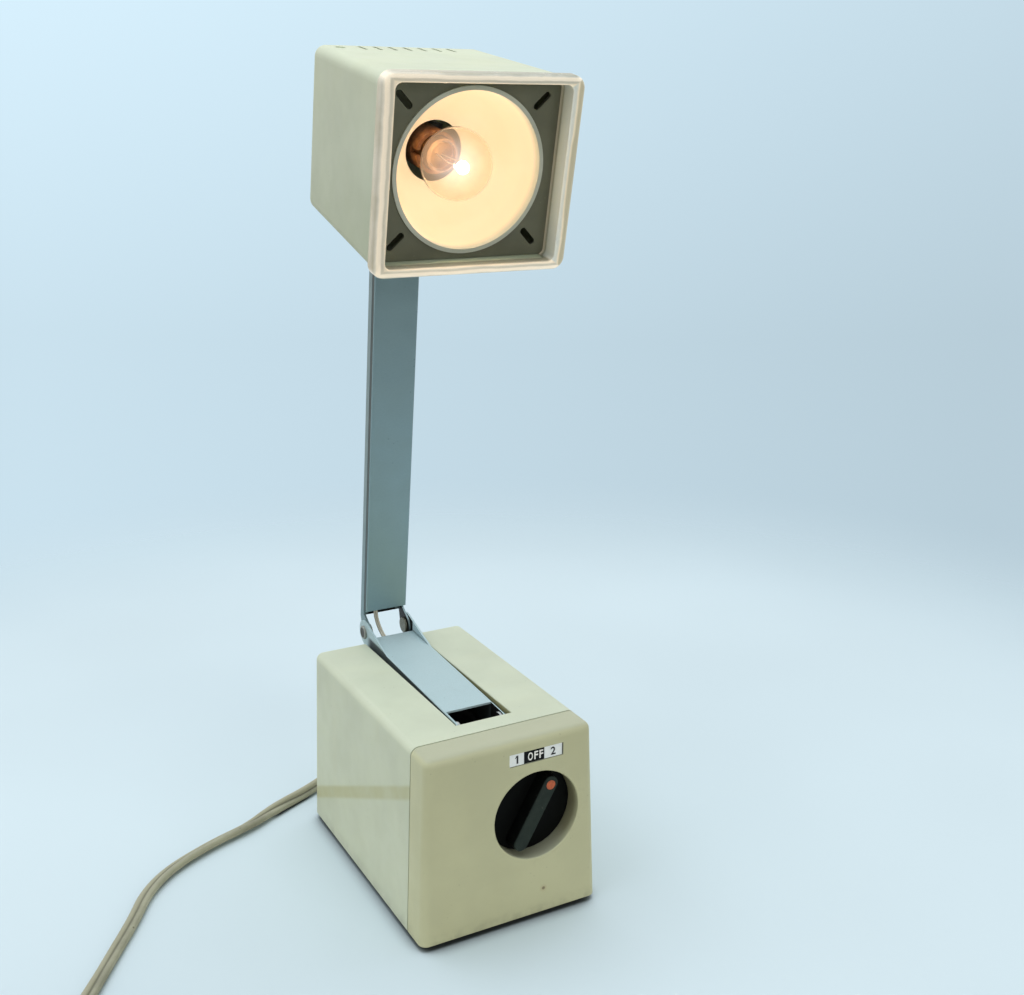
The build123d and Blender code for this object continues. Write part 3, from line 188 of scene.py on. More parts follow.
# Painted light of the clear frame, in bands of painted highlight, reflection and shade: a place from its
# edge inwards, or from its lip back, and a colour
lip_painted_light = (
    (0.00, (0.30, 0.31, 0.25)),
    (0.08, (0.45, 0.47, 0.43)),
    (0.17, (0.70, 0.69, 0.62)),
    (0.26, (1.00, 0.91, 0.77)),
    (0.52, (1.00, 0.92, 0.79)),
    (0.66, (0.52, 0.52, 0.46)),
    (0.80, (0.60, 0.58, 0.50)),
    (0.92, (0.92, 0.82, 0.66)),
)
right_lip_painted_light = (
    (0.00, (0.30, 0.29, 0.21)),
    (0.16, (0.56, 0.53, 0.40)),
    (0.52, (0.50, 0.47, 0.35)),
    (0.66, (0.90, 0.80, 0.62)),
    (0.80, (0.72, 0.74, 0.68)),
    (1.00, (0.62, 0.68, 0.67)),
)
sleeve_painted_light = (
    (0.00, (0.80, 0.76, 0.64)),
    (0.12, (0.78, 0.70, 0.56)),
    (0.20, (0.36, 0.36, 0.29)),
    (0.70, (0.28, 0.28, 0.22)),
    (0.84, (0.70, 0.64, 0.50)),
)
right_sleeve_painted_light = (
    (0.00, (0.70, 0.74, 0.70)),
    (0.25, (0.64, 0.71, 0.70)),
    (0.62, (0.52, 0.56, 0.52)),
    (0.74, (0.24, 0.24, 0.18)),
    (0.86, (0.80, 0.72, 0.56)),
)
range_keys = ("From Min", "From Max", "To Min", "To Max")


def colour_property(name, description, default):
    """A colour that a user would change."""
    return FloatVectorProperty(
        name=name, description=description, default=default, subtype="COLOR", size=3, min=0.0, max=1.0
    )


def length_property(name, description, default):
    """A size in metres that a user would change."""
    return FloatProperty(
        name=name, description=description, default=default, unit="LENGTH", subtype="DISTANCE"
    )


class LampSizes(bpy.types.PropertyGroup):
    """Sizes of the pieces made here."""

    flex_width: length_property("Flex width", "Width of the flat twin flex", 0.0064)
    flex_thickness: length_property("Flex thickness", "Thickness of one core of the flex", 0.0036)
    wire_width: length_property("Wire width", "Width of the twin wire in the arms", 0.0023)
    wire_thickness: length_property("Wire thickness", "Thickness of the twin wire in the arms", 0.0013)
    filament_radius: length_property("Filament radius", "Radius of the filament's coil", 0.0007)
    filament_wire: length_property("Filament wire", "Radius of the filament's wire", 0.00014)
    figure_height: length_property("Figure height", "Height of the figures on the dial", 0.0040)


class LampColours(bpy.types.PropertyGroup):
    """Colours of the main finishes."""

    housing: colour_property("Housing", "Beige moulding of the base and the head", (0.58, 0.645, 0.515))
    cover: colour_property("Cover", "Warmer moulding of the front cover", (0.535, 0.555, 0.37))
    upper_arm: colour_property("Upper arm", "Satin sheet of the upper arm", (0.29, 0.40, 0.43))
    lower_arm: colour_property("Lower arm", "Satin sheet of the lower arm", (0.45, 0.60, 0.65))
    baffle: colour_property("Baffle", "Paint of the baffle", (0.150, 0.157, 0.112))
    flex: colour_property("Flex", "Jacket of the flex", (0.295, 0.30, 0.220))
    dot: colour_property("Dot", "Inlay in the knob's grip", (0.50, 0.105, 0.032))
    glow: colour_property("Glow", "Light of the bulb", (1.0, 0.74, 0.42))
    floor: colour_property("Floor", "Paper under the lamp", (0.60, 0.718, 0.79))
    backdrop: colour_property("Backdrop", "Paper behind the lamp", (0.54, 0.69, 0.78))


def sizes():
    """The sizes set for this scene."""
    return bpy.context.scene.lamp_sizes


def colours():
    """The colours set for this scene."""
    return bpy.context.scene.lamp_colours


# Surfaces


def add_object(name, mesh, material):
    """Put a mesh into the scene under a name, with its material."""
    piece = bpy.data.objects.new(name, mesh)
    bpy.context.scene.collection.objects.link(piece)
    mesh.materials.append(material)
    return piece


def surface(name, points, material, tube=False):
    """A mesh over a grid of points: each cell is one face. A tube's rows are closed, its ends capped."""
    rows, columns = points.shape[:2]
    index = np.arange(rows * columns).reshape(rows, columns)
    ends = []
    if tube:
        ends = [index[0, ::-1].tolist(), index[-1].tolist()]
        index = np.hstack([index, index[:, :1]])
    faces = np.stack([index[:-1, :-1], index[:-1, 1:], index[1:, 1:], index[1:, :-1]], -1).reshape(-1, 4)
    flat = points.reshape(-1, 3)
    corner = flat[faces]
    middle = flat.mean(0)
    normal = np.cross(corner[:, 1] - middle, corner[:, 2] - middle)
    volume = np.einsum("ij,ij->i", corner[:, 0] - middle, normal)
    faces = faces.tolist() + ends
    if volume.sum() < -1e-15:
        faces = [face[::-1] for face in faces]
    mesh = bpy.data.meshes.new(name)
    mesh.from_pydata(flat.tolist(), [], faces)
    mesh.polygons.foreach_set("use_smooth", np.ones(len(faces), bool))
    mesh.update()
    return add_object(name, mesh, material)


def unit(vectors):
    """Vectors scaled to length one."""
    return vectors / np.linalg.norm(vectors, axis=-1, keepdims=True)


def swept(path, section, up, turn=0.0):
    """A section carried along a path: each point is path + side * a + normal * b.

    side is square to the path and to up, normal to both; turn twists them about the path."""
    along = unit(np.gradient(path, axis=0))
    side = unit(np.cross(along, up))
    normal = np.cross(side, along)
    turn = np.broadcast_to(turn, len(path))[:, None]
    first = side * np.cos(turn) + normal * np.sin(turn)
    second = normal * np.cos(turn) - side * np.sin(turn)
    return path[:, None] + first[:, None] * section[:, :1] + second[:, None] * section[:, 1:]


def round_section(radius, count):
    """A circle: radius * (cos t, sin t)."""
    t = np.arange(count) * 2 * pi / count
    return radius * np.stack([np.cos(t), np.sin(t)], -1)


def twin_section(width, thickness, count=28):
    """Two joined round cores: r(t) = sqrt((a cos t)^2 + b^2), b the half web between them."""
    t = np.arange(count) * 2 * pi / count
    web = 0.26 * thickness
    reach = np.sqrt((width / 2) ** 2 - web**2)
    r = np.sqrt((reach * np.cos(t)) ** 2 + web**2)
    shape = np.stack([r * np.cos(t), r * np.sin(t)], -1)
    shape[:, 1] *= thickness / 2 / shape[:, 1].max()
    return shape


def twin_tube(name, path, width, thickness, material, turn, up=upright):
    """A twin flex along a path. Its attribute core_side runs from -1 on one core to 1 on the other."""
    section = twin_section(width, thickness)
    grid = swept(path, section, up, turn)
    tube = surface(name, grid, material, tube=True)
    side = np.tile(section[:, 0] / (width / 2), len(path))
    tube.data.attributes.new("core_side", "FLOAT", "POINT").data.foreach_set("value", side)
    return tube


def bezier(a, b, c, d, count=40):
    """A cubic curve from a to d that starts towards b and ends from c."""
    t = np.linspace(0, 1, count)[:, None]
    return (1 - t) ** 3 * a + 3 * t * (1 - t) ** 2 * b + 3 * t**2 * (1 - t) * c + t**3 * d


def straight(start, end, count=60):
    """A straight path from start to end: start + t (end - start)."""
    return start + (end - start) * np.linspace(0, 1, count)[:, None]


def head_points(x, y, z):
    """Points given in the head's own axes: across, back and up from the middle of its frame."""
    x, y, z = np.broadcast_arrays(x, y, z)
    return head_origin + x[..., None] * across + y[..., None] * head_back + z[..., None] * head_up


def lower_point(x, u, w):
    """A point of the lower arm: across, along and up from its web."""
    return lower_start + x * across + u * lower_along + w * lower_up


def upper_point(x, s, d):
    """A point of the upper arm: across, along from the elbow and back from its axis."""
    return elbow + x * across + s * upper_along + d * upper_back


# Finishes


class Finish:
    """One procedural material: its node tree, its shader, and short ways to add nodes."""

    def __init__(self, name):
        self.material = bpy.data.materials.new(name)
        self.material.use_nodes = True
        self.tree = self.material.node_tree
        self.shader = self.tree.nodes["Principled BSDF"]
        self.output = self.tree.nodes["Material Output"]
        self.place = self.add("ShaderNodeTexCoord").outputs["Object"]
        split = self.add("ShaderNodeSeparateXYZ")
        self.tree.links.new(self.place, split.inputs[0])
        self.x, self.y, self.z = split.outputs

    def add(self, kind, **settings):
        """A new node with its settings."""
        node = self.tree.nodes.new(kind)
        for key, value in settings.items():
            setattr(node, key, value)
        return node

    def feed(self, socket, value):
        """Link a socket to another node, or write a number or colour on it."""
        if isinstance(value, bpy.types.NodeSocket):
            self.tree.links.new(value, socket)
        else:
            socket.default_value = value

    def set(self, **values):
        """Shader inputs by name, with _ for a space."""
        for key, value in values.items():
            self.feed(self.shader.inputs[key.replace("_", " ")], value)

    def math(self, operation, a, b=0.0, c=0.0):
        """A sum, product or the like of two or three values."""
        node = self.add("ShaderNodeMath", operation=operation)
        for socket, value in zip(node.inputs, (a, b, c)):
            self.feed(socket, value)
        return node.outputs[0]

    def step(self, value, low, high, start=0.0, end=1.0):
        """A smooth step: start below low, end above high."""
        node = self.add("ShaderNodeMapRange", interpolation_type="SMOOTHSTEP")
        for key, number in zip(range_keys, (low, high, start, end)):
            node.inputs[key].default_value = number
        self.feed(node.inputs["Value"], value)
        return node.outputs[0]

    def joined(self, operation, values):
        """Values joined two by two by an operation."""
        total = values[0]
        for value in values[1:]:
            total = self.math(operation, total, value)
        return total

    def times(self, *values):
        """The product of values."""
        return self.joined("MULTIPLY", values)

    def most(self, *values):
        """The greatest of values."""
        return self.joined("MAXIMUM", values)

    def unsigned(self, value):
        """A value without its sign."""
        return self.math("ABSOLUTE", value)

    def reach(self, first, second):
        """The length of two sides that are square to each other: sqrt(a^2 + b^2)."""
        return self.math("SQRT", self.math("ADD", self.times(first, first), self.times(second, second)))

    def between(self, value, start, end):
        """A number from start to end as a value rises from 0 to 1."""
        return self.step(value, 0.0, 1.0, start, end)

    def band(self, value, low, high, soft):
        """1 between two values and 0 outside them, over soft edges."""
        rising = self.step(value, low - soft, low + soft)
        return self.times(rising, self.step(value, high + soft, high - soft))

    def clouds(self, scale, detail, low, high, start=0.0, end=1.0):
        """Noise drawn apart into patches: start where it is below low, end where it is above high."""
        return self.step(self.noise(scale, detail), low, high, start, end)

    def noise(self, scale, detail, stretch=(1.0, 1.0, 1.0), source=None):
        """Cloudy noise with a number of features per metre, stretched along an axis."""
        place = self.add("ShaderNodeMapping", vector_type="TEXTURE")
        place.inputs["Scale"].default_value = stretch
        self.feed(place.inputs["Vector"], source or self.place)
        node = self.add("ShaderNodeTexNoise")
        node.inputs["Scale"].default_value = scale
        node.inputs["Detail"].default_value = detail
        self.feed(node.inputs["Vector"], place.outputs[0])
        return node.outputs["Fac"]

    def specks(self, scale, size):
        """Sparse round specks: 1 in the middle of a cell, 0 outside a share of it."""
        node = self.add("ShaderNodeTexVoronoi")
        node.inputs["Scale"].default_value = scale
        self.feed(node.inputs["Vector"], self.place)
        near = self.step(node.outputs["Distance"], size, size * 0.5)
        rare = self.clouds(scale * 0.23, 1.0, 0.60, 0.64)
        return self.times(near, rare)

    def mix(self, factor, a, b):
        """A colour between two colours."""
        node = self.add("ShaderNodeMix", data_type="RGBA")
        self.feed(node.inputs["Factor"], factor)
        for name, value in (("A", a), ("B", b)):
            socket = [s for s in node.inputs if s.name == name and s.type == "RGBA"][0]
            self.feed(socket, (*value, 1.0) if isinstance(value, (tuple, list)) else value)
        return [s for s in node.outputs if s.type == "RGBA"][0]

    def mark(self, base, mask, weight, colour):
        """A base colour that gives way to another by a weight where a mask is."""
        return self.mix(self.times(mask, weight), base, colour)

    def shades(self, factor, colour, start, end):
        """A colour from one of its shades to another."""
        return self.mix(factor, scaled(colour, start), scaled(colour, end))

    def near(self, x, z, radius, edge):
        """1 near a point of a plane across y, fading out over an edge."""
        away = self.reach(self.math("SUBTRACT", self.x, x), self.math("SUBTRACT", self.z, z))
        return self.step(away, radius + edge, radius)

    def vector(self, first, second):
        """A vector of two values, for a pattern that follows them."""
        node = self.add("ShaderNodeCombineXYZ")
        self.feed(node.inputs[0], first)
        self.feed(node.inputs[1], second)
        return node.outputs[0]

    def axes(self, origin, turn):
        """Places in axes moved to an origin and turned about the x axis."""
        node = self.add("ShaderNodeMapping", vector_type="TEXTURE")
        node.inputs["Location"].default_value = tuple(origin)
        node.inputs["Rotation"].default_value = (turn, 0.0, 0.0)
        self.feed(node.inputs["Vector"], self.place)
        split = self.add("ShaderNodeSeparateXYZ")
        self.feed(split.inputs[0], node.outputs[0])
        return split.outputs

    def head_axes(self):
        """Places across, back and up in the head's own axes."""
        return self.axes(head_origin, head_tilt)

    def inner_side(self, depth):
        """1 on faces that look to the middle plane from farther than a depth, else 0."""
        look = self.times(self.facing(across), self.x)
        return self.step(look, -0.6 * depth, -0.9 * depth)

    def facing(self, direction):
        """How much the surface faces a direction of the object, from -1 to 1."""
        node = self.add("ShaderNodeVectorMath", operation="DOT_PRODUCT")
        self.feed(node.inputs[0], self.add("ShaderNodeTexCoord").outputs["Normal"])
        node.inputs[1].default_value = tuple(direction)
        return node.outputs["Value"]

    def ramp(self, value, stops):
        """A colour that passes through stops of place and colour."""
        node = self.add("ShaderNodeValToRGB")
        steps = node.color_ramp.elements
        while len(steps) < len(stops):
            steps.new(1.0)
        for step, (place, colour) in zip(steps, stops):
            step.position = place
            step.color = (*colour, 1.0)
        self.feed(node.inputs[0], value)
        return node.outputs["Color"]

    def bump(self, height, distance, strength):
        """Let a height stand out of the surface by a distance in metres."""
        node = self.add("ShaderNodeBump")
        node.inputs["Strength"].default_value = strength
        node.inputs["Distance"].default_value = distance
        self.feed(node.inputs["Height"], height)
        self.feed(self.shader.inputs["Normal"], node.outputs[0])

    def grain(self, scale, distance, strength):
        """A fine grain that stands out of the surface by a distance in metres."""
        self.bump(self.noise(scale, 2.0), distance, strength)

    def see_through(self, share):
        """Let a share of the light pass straight through the surface."""
        clear = self.add("ShaderNodeBsdfTransparent")
        choose = self.add("ShaderNodeMixShader")
        for socket, value in zip(choose.inputs, (share, self.shader.outputs[0], clear.outputs[0])):
            self.feed(socket, value)
        self.feed(self.output.inputs["Surface"], choose.outputs[0])


def scaled(colour, factor):
    """A colour made darker or lighter."""
    return tuple(min(1.0, channel * factor) for channel in colour)


def tinted(colour, red, green, blue):
    """A colour whose three channels are each made darker or lighter."""
    return (colour[0] * red, colour[1] * green, colour[2] * blue)


def moulded_plastic(name, colour, marks=None):
    """Old moulded plastic: faint clouds, yellowed streaks, dust specks, a fine grain and uneven gloss."""
    f = Finish(name)
    cloud = f.clouds(38.0, 4.0, 0.30, 0.72)
    base = f.shades(cloud, colour, 0.955, 1.035)
    streak = f.step(f.noise(26.0, 3.0, stretch=(1.0, 0.35, 3.0)), 0.52, 0.75)
    base = f.mark(base, streak, 0.10, tinted(colour, 1.06, 0.98, 0.84))
    base = f.mark(base, f.specks(420.0, 0.16), 0.30, scaled(colour, 0.35))
    if marks:
        base = marks(f, base, colour)
    gloss = f.clouds(120.0, 4.0, 0.3, 0.7, 0.40, 0.52)
    f.set(Base_Color=base, Roughness=gloss, Specular_IOR_Level=0.42)
    f.grain(2600.0, 0.00004, 0.5)
    return f.material


def housing_marks_and_shade(f, base, colour):
    """A darker sloping band on the left side, grime low down, painted shade in the slot, paler rubbed top
    edges.
    """
    # A darker band that slopes across the left side.
    left = f.step(f.x, -0.040, -0.043)
    line = f.math("MULTIPLY_ADD", f.y, -0.48, 0.0452)
    off = f.unsigned(f.math("SUBTRACT", f.z, line))
    patch = f.clouds(70.0, 3.0, 0.30, 0.60, 0.50, 0.74)
    sloping_band = f.times(left, f.step(off, 0.0046, 0.0022), patch)
    base = f.mix(sloping_band, base, tinted(colour, 0.80, 0.74, 0.52))
    grime = f.times(f.step(f.z, 0.011, 0.003), f.clouds(160.0, 4.0, 0.35, 0.75, 0.1, 0.5))
    base = f.mix(grime, base, scaled(colour, 0.55))
    # Painted shade: the slot's walls darken with depth to near black.
    slot = f.times(
        f.band(f.x, -slot_half_width, slot_half_width, 0.0005),
        f.band(f.z, slot_bottom_z, slot_top_z, 0.0003),
        f.step(f.y, base_rear_y - 0.0003, base_rear_y - 0.0009),
    )
    depth = f.step(f.z, slot_top_z, 0.0860)
    wall = f.mix(depth, tinted(colour, 0.62, 0.56, 0.36), (0.006, 0.006, 0.005))
    base = f.mix(slot, base, wall)
    edge_x = f.step(f.unsigned(f.x), 0.0392, 0.0418)
    rub = f.times(edge_x, f.step(f.z, 0.0905, 0.0930), f.step(f.z, 0.0952, 0.0940))
    return f.mark(base, rub, 0.35, scaled(colour, 1.16))


def cover_marks_and_shade(f, base, colour):
    """A pit low on the face, painted shadow lines beside the label, grime round the knob's well and at the
    foot, painted shade inside the well and on the top faces, and rubbed corners."""
    pit = f.near(*pit_centre, 0.0005, 0.0006)
    base = f.mark(base, pit, 0.8, (0.05, 0.045, 0.035))
    halo = f.near(*pit_centre, 0.0009, 0.0016)
    base = f.mark(base, halo, 0.3, tinted(colour, 0.8, 0.62, 0.5))
    # Painted shadow of the label's recess: dark lines beside the label, on its right and below it.
    low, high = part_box("label_plate")
    label_shadow_x = f.band(f.x, low.x + 0.0003, high.x + 0.0007, 0.0001)
    label_shadow_z = f.band(f.z, low.z - 0.0003, high.z + 0.0001, 0.0001)
    base = f.mark(base, f.times(label_shadow_x, label_shadow_z), 0.85, (0.045, 0.055, 0.055))
    ring = f.times(f.near(*knob_centre, 0.0225, 0.008), f.clouds(300.0, 4.0, 0.5, 0.8))
    base = f.mark(base, ring, 0.18, scaled(colour, 0.6))
    # Painted shade inside the knob's well.
    inside = f.times(
        f.step(f.y, base_front_y + 0.0004, base_front_y + 0.0045),
        f.near(*knob_centre, 0.0230, 0.0008),
    )
    base = f.mark(base, inside, 0.75, tinted(colour, 0.44, 0.40, 0.36))
    foot = f.times(f.step(f.z, 0.010, 0.003), f.clouds(210.0, 4.0, 0.35, 0.75, 0.0, 0.45))
    base = f.mix(foot, base, scaled(colour, 0.55))
    # Painted shade: the top faces are darker and cooler.
    top = f.step(f.facing(upright), 0.55, 0.95)
    base = f.mark(base, top, 0.8, tinted(colour, 0.80, 0.82, 0.93))
    corner = f.step(f.unsigned(f.x), 0.0400, 0.0445)
    return f.mark(base, corner, 0.22, scaled(colour, 1.14))


def head_marks_and_shade(f, base, colour):
    """Slight yellowing by the lamp's heat on the top, and painted shade that darkens it lower down."""
    warm = f.times(f.step(f.z, 0.35, 0.39), f.clouds(45.0, 3.0, 0.35, 0.7, 0.15, 0.4))
    base = f.mix(warm, base, tinted(colour, 1.10, 1.05, 0.93))
    # Painted shade: darker lower down.
    return f.mark(base, f.step(f.z, 0.362, 0.285), 0.85, tinted(colour, 0.72, 0.75, 0.68))


def satin_aluminium(name, colour, stretch, metallic, marks):
    """Satin sheet: fine lines along its length, faint smears, dark specks, and faces painted black as shade
    where the given shade marks say.
    """
    f = Finish(name)
    lines = f.noise(700.0, 3.0, stretch=stretch)
    base = f.shades(f.step(lines, 0.3, 0.7), colour, 0.93, 1.06)
    smear = f.clouds(55.0, 4.0, 0.52, 0.78)
    base = f.mark(base, smear, 0.16, scaled(colour, 0.80))
    base = f.mark(base, f.specks(300.0, 0.12), 0.5, scaled(colour, 0.4))
    # Painted shade: the faces that the marks give are painted near black and lose their metal.
    dark = marks(f)
    base = f.mix(dark, base, f.mix(smear, (0.010, 0.011, 0.011), (0.018, 0.019, 0.018)))
    f.set(
        Base_Color=base,
        Metallic=f.between(dark, metallic, 0.0),
        Roughness=f.clouds(90.0, 3.0, 0.3, 0.7, 0.36, 0.46),
        Specular_IOR_Level=0.15,
    )
    f.bump(lines, 0.00002, 0.35)
    return f.material


def lower_arm_shade(f):
    """Painted shade: the inner faces of the ears and the underside painted black, and the sides darkened
    where they run in the slot.
    """
    along, up = f.axes(lower_start, lower_slope)[1:]
    ends = f.most(f.step(along, 0.0912, 0.0918), f.step(along, 0.0002, -0.0004))
    inner = f.times(f.inner_side(0.0115), ends)
    under = f.step(f.facing(lower_up), -0.5, -0.8)
    side = f.step(f.unsigned(f.facing(across)), 0.80, 0.97)
    # Painted shade on the sides where they run in the slot; dull holds this shade.
    slot = f.times(f.step(along, 0.0965, 0.0900), f.step(up, 0.0012, -0.0006))
    dull = f.times(side, slot, 0.88)
    return f.most(inner, under, dull)


def rear_channel_shade(f):
    """Painted shade: the inside of the channel painted black, on the inner faces of its sides and of its
    web.
    """
    front = f.step(f.facing(upper_back), -0.5, -0.8)
    web = f.times(front, f.step(f.unsigned(f.x), 0.0082, 0.0076))
    return f.most(f.inner_side(0.0110), web)


def front_channel_shade(f):
    """Painted shade: the inside of the sliding channel painted black, and its sides painted dark as the
    shadow between the channels, which shows as a dark line.
    """
    back = f.step(f.facing(upper_back), 0.5, 0.8)
    web = f.times(back, f.step(f.unsigned(f.x), 0.0115, 0.0108))
    # Painted shadow between the channels, on the sides.
    gap_shadow = f.step(f.unsigned(f.facing(across)), 0.90, 0.98, 0.0, 0.75)
    return f.most(f.inner_side(0.0110), web, gap_shadow)


def rivet_finish():
    """Rivets: a dark middle in a pale ring outside, and dull grey tails with turning marks inside."""
    f = Finish("rivet_bronze")
    x, back, up = f.axes(elbow, 0.0)
    radius = f.reach(back, up)
    outside = f.step(f.unsigned(x), 0.0116, 0.0122)
    cloud = f.clouds(700.0, 4.0, 0.3, 0.7)
    middle = f.mix(cloud, (0.030, 0.026, 0.018), (0.060, 0.052, 0.036))
    ring = f.mix(cloud, (0.26, 0.28, 0.26), (0.34, 0.36, 0.34))
    head = f.mix(f.step(radius, 0.0025, 0.0029), middle, ring)
    streak = f.step(f.noise(900.0, 3.0, stretch=(1.0, 1.0, 0.12)), 0.40, 0.62)
    tail = f.mix(streak, (0.115, 0.120, 0.090), (0.26, 0.27, 0.215))
    f.set(
        Base_Color=f.mix(outside, tail, head),
        Metallic=0.35,
        Roughness=f.between(cloud, 0.38, 0.52),
    )
    f.bump(streak, 0.00003, 0.4)
    return f.material


def bracket_finish():
    """Bracket painted black as shade in the slot, whose upward faces near its top are pale metal."""
    f = Finish("bracket_painted_shade")
    cloud = f.clouds(300.0, 4.0, 0.3, 0.7)
    # Painted shade: the black stands in for the shade in the slot.
    shade_black = f.mix(cloud, (0.005, 0.005, 0.005), (0.012, 0.012, 0.012))
    edge = f.times(f.step(f.facing(upright), 0.6, 0.9), f.step(f.z, 0.070, 0.076))
    bare = f.mix(cloud, (0.40, 0.43, 0.44), (0.56, 0.60, 0.61))
    f.set(
        Base_Color=f.mix(edge, shade_black, bare),
        Roughness=f.between(cloud, 0.50, 0.62),
        Specular_IOR_Level=0.15,
    )
    f.grain(1500.0, 0.00004, 0.5)
    return f.material


def plated_steel(name, colour, roughness):
    """Plated steel or brass: clouds, small dull spots and a fine grain."""
    f = Finish(name)
    cloud = f.clouds(260.0, 4.0, 0.3, 0.7)
    base = f.shades(cloud, colour, 0.80, 1.10)
    dull = f.clouds(900.0, 3.0, 0.58, 0.75)
    base = f.mark(base, dull, 0.5, scaled(colour, 0.45))
    f.set(Base_Color=base, Metallic=1.0, Roughness=f.between(cloud, roughness, roughness + 0.16))
    f.grain(3000.0, 0.00002, 0.4)
    return f.material


def painted_sheet(name, colour, roughness=0.55):
    """Painted sheet: orange-peel grain, dust and slightly uneven gloss."""
    f = Finish(name)
    cloud = f.clouds(60.0, 4.0, 0.3, 0.7)
    base = f.shades(cloud, colour, 0.88, 1.10)
    base = f.mark(base, f.specks(700.0, 0.2), 0.35, scaled(colour, 2.2))
    f.set(Base_Color=base, Roughness=f.between(cloud, roughness, roughness + 0.12))
    f.grain(1500.0, 0.00004, 0.5)
    return f.material


def dark_moulding(name, colour, roughness=0.42):
    """Dark moulded plastic or rubber: fine grain, grey dust and worn gloss."""
    f = Finish(name)
    cloud = f.clouds(150.0, 4.0, 0.32, 0.7)
    base = f.shades(cloud, colour, 0.75, 1.25)
    base = f.mark(base, f.clouds(520.0, 4.0, 0.60, 0.80), 0.16, (0.24, 0.24, 0.22))
    f.set(Base_Color=base, Roughness=f.between(cloud, roughness, roughness + 0.15))
    f.grain(2400.0, 0.00005, 0.5)
    return f.material


def knob_finish():
    """Knob: a black disc and a black grip whose front face is dark grey."""
    f = Finish("knob_plastic")
    grip = f.step(f.y, base_front_y + 0.0084, base_front_y + 0.0060)
    cloud = f.clouds(240.0, 4.0, 0.3, 0.7)
    disc = f.mix(cloud, (0.0010, 0.0014, 0.0013), (0.0024, 0.0032, 0.0030))
    bar = f.mix(cloud, (0.0012, 0.0016, 0.0015), (0.0030, 0.0040, 0.0037))
    face = f.step(f.y, base_front_y + 0.0019, base_front_y + 0.0010)
    bar = f.mix(face, bar, f.mix(cloud, (0.020, 0.030, 0.027), (0.028, 0.040, 0.036)))
    base = f.mix(grip, disc, bar)
    dust = f.times(f.clouds(700.0, 4.0, 0.62, 0.8), 0.10)
    f.set(
        Base_Color=f.mark(base, dust, grip, (0.3, 0.3, 0.27)),
        Roughness=f.between(cloud, 0.58, 0.70),
        Specular_IOR_Level=0.10,
    )
    f.grain(1800.0, 0.00004, 0.4)
    return f.material


def inlay_finish():
    """Orange inlay, a little uneven in colour and gloss."""
    f = Finish("dot_orange")
    colour = tuple(colours().dot)
    cloud = f.clouds(900.0, 3.0, 0.3, 0.7)
    base = f.shades(cloud, colour, 0.78, 1.15)
    f.set(Base_Color=base, Roughness=f.between(cloud, 0.4, 0.5))
    f.grain(2200.0, 0.00003, 0.4)
    return f.material


def label_finish():
    """Printed label: a black field between two white ones, all slightly clouded."""
    f = Finish("label_print")
    low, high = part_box("label_plate")
    start = low.x + label_black[0] * (high.x - low.x)
    end = low.x + label_black[1] * (high.x - low.x)
    middle = f.band(f.x, start, end, 0.00006)
    cloud = f.clouds(500.0, 4.0, 0.3, 0.75)
    white = f.mix(cloud, (0.88, 0.95, 1.0), (0.81, 0.89, 0.95))
    black = f.mix(cloud, (0.003, 0.0035, 0.004), (0.007, 0.008, 0.009))
    f.set(
        Base_Color=f.mix(middle, white, black),
        Roughness=f.between(cloud, 0.40, 0.50),
        Specular_IOR_Level=0.12,
    )
    f.grain(1200.0, 0.00002, 0.3)
    return f.material


def ink_finish(name, colour):
    """Printed figure: slightly uneven ink."""
    f = Finish(name)
    cloud = f.clouds(1600.0, 3.0, 0.3, 0.7)
    f.set(Base_Color=f.shades(cloud, colour, 0.85, 1.1), Roughness=0.4)
    f.bump(cloud, 0.00001, 0.3)
    return f.material


def clear_acrylic():
    """Clear moulded frame with painted light: pale bands of painted highlight and reflection along its lip,
    a duller sleeve of painted shade and highlight, and a painted glow for the lamp's light it pipes.
    """
    f = Finish("clear_plastic")
    x, back, z = f.head_axes()
    side = f.math("DIVIDE", f.math("SUBTRACT", frame_half_width, f.unsigned(x)), frame_side_lip)
    level = f.math("DIVIDE", f.math("SUBTRACT", frame_half_height, f.unsigned(z)), frame_level_lip)
    inward = f.math("MINIMUM", side, level)
    waver = f.noise(60.0, 3.0)
    inward = f.math("ADD", inward, f.step(waver, 0.3, 0.7, -0.06, 0.06))
    beside = f.step(f.math("SUBTRACT", level, side), -0.15, 0.15)
    right = f.times(f.step(x, 0.030, 0.034), beside)
    # Painted highlight, reflection and shade in bands along the lip, and painted warm light on part of it.
    lip = f.ramp(inward, lip_painted_light)
    warm = f.step(f.math("ADD", x, f.times(z, 0.35)), 0.044, -0.03)
    lip = f.mark(lip, warm, 0.22, (0.92, 0.76, 0.56))
    lip = f.mix(right, lip, f.ramp(inward, right_lip_painted_light))
    deep = f.math("DIVIDE", back, frame_sleeve_depth)
    wall = f.step(f.facing(across), -0.4, -0.7)
    # Painted shade and highlight in bands on the sleeve.
    sleeve = f.mix(wall, f.ramp(deep, sleeve_painted_light), f.ramp(deep, right_sleeve_painted_light))
    inside = f.times(f.step(inward, 0.86, 0.94), f.step(back, 0.0006, 0.0012))
    base = f.mix(inside, lip, sleeve)
    scratch = f.step(f.noise(900.0, 3.0, stretch=(1.0, 1.0, 0.05)), 0.60, 0.72)
    rough = f.math("ADD", f.step(waver, 0.3, 0.7, 0.16, 0.24), f.times(scratch, 0.08))
    # Painted glow: the bands also emit, more on the lip than in the sleeve.
    f.set(
        Base_Color=base,
        Roughness=rough,
        IOR=1.49,
        Transmission_Weight=0.28,
        Emission_Color=base,
        Emission_Strength=f.between(inside, 0.30, 0.06),
    )
    f.grain(220.0, 0.00006, 0.25)
    return f.material


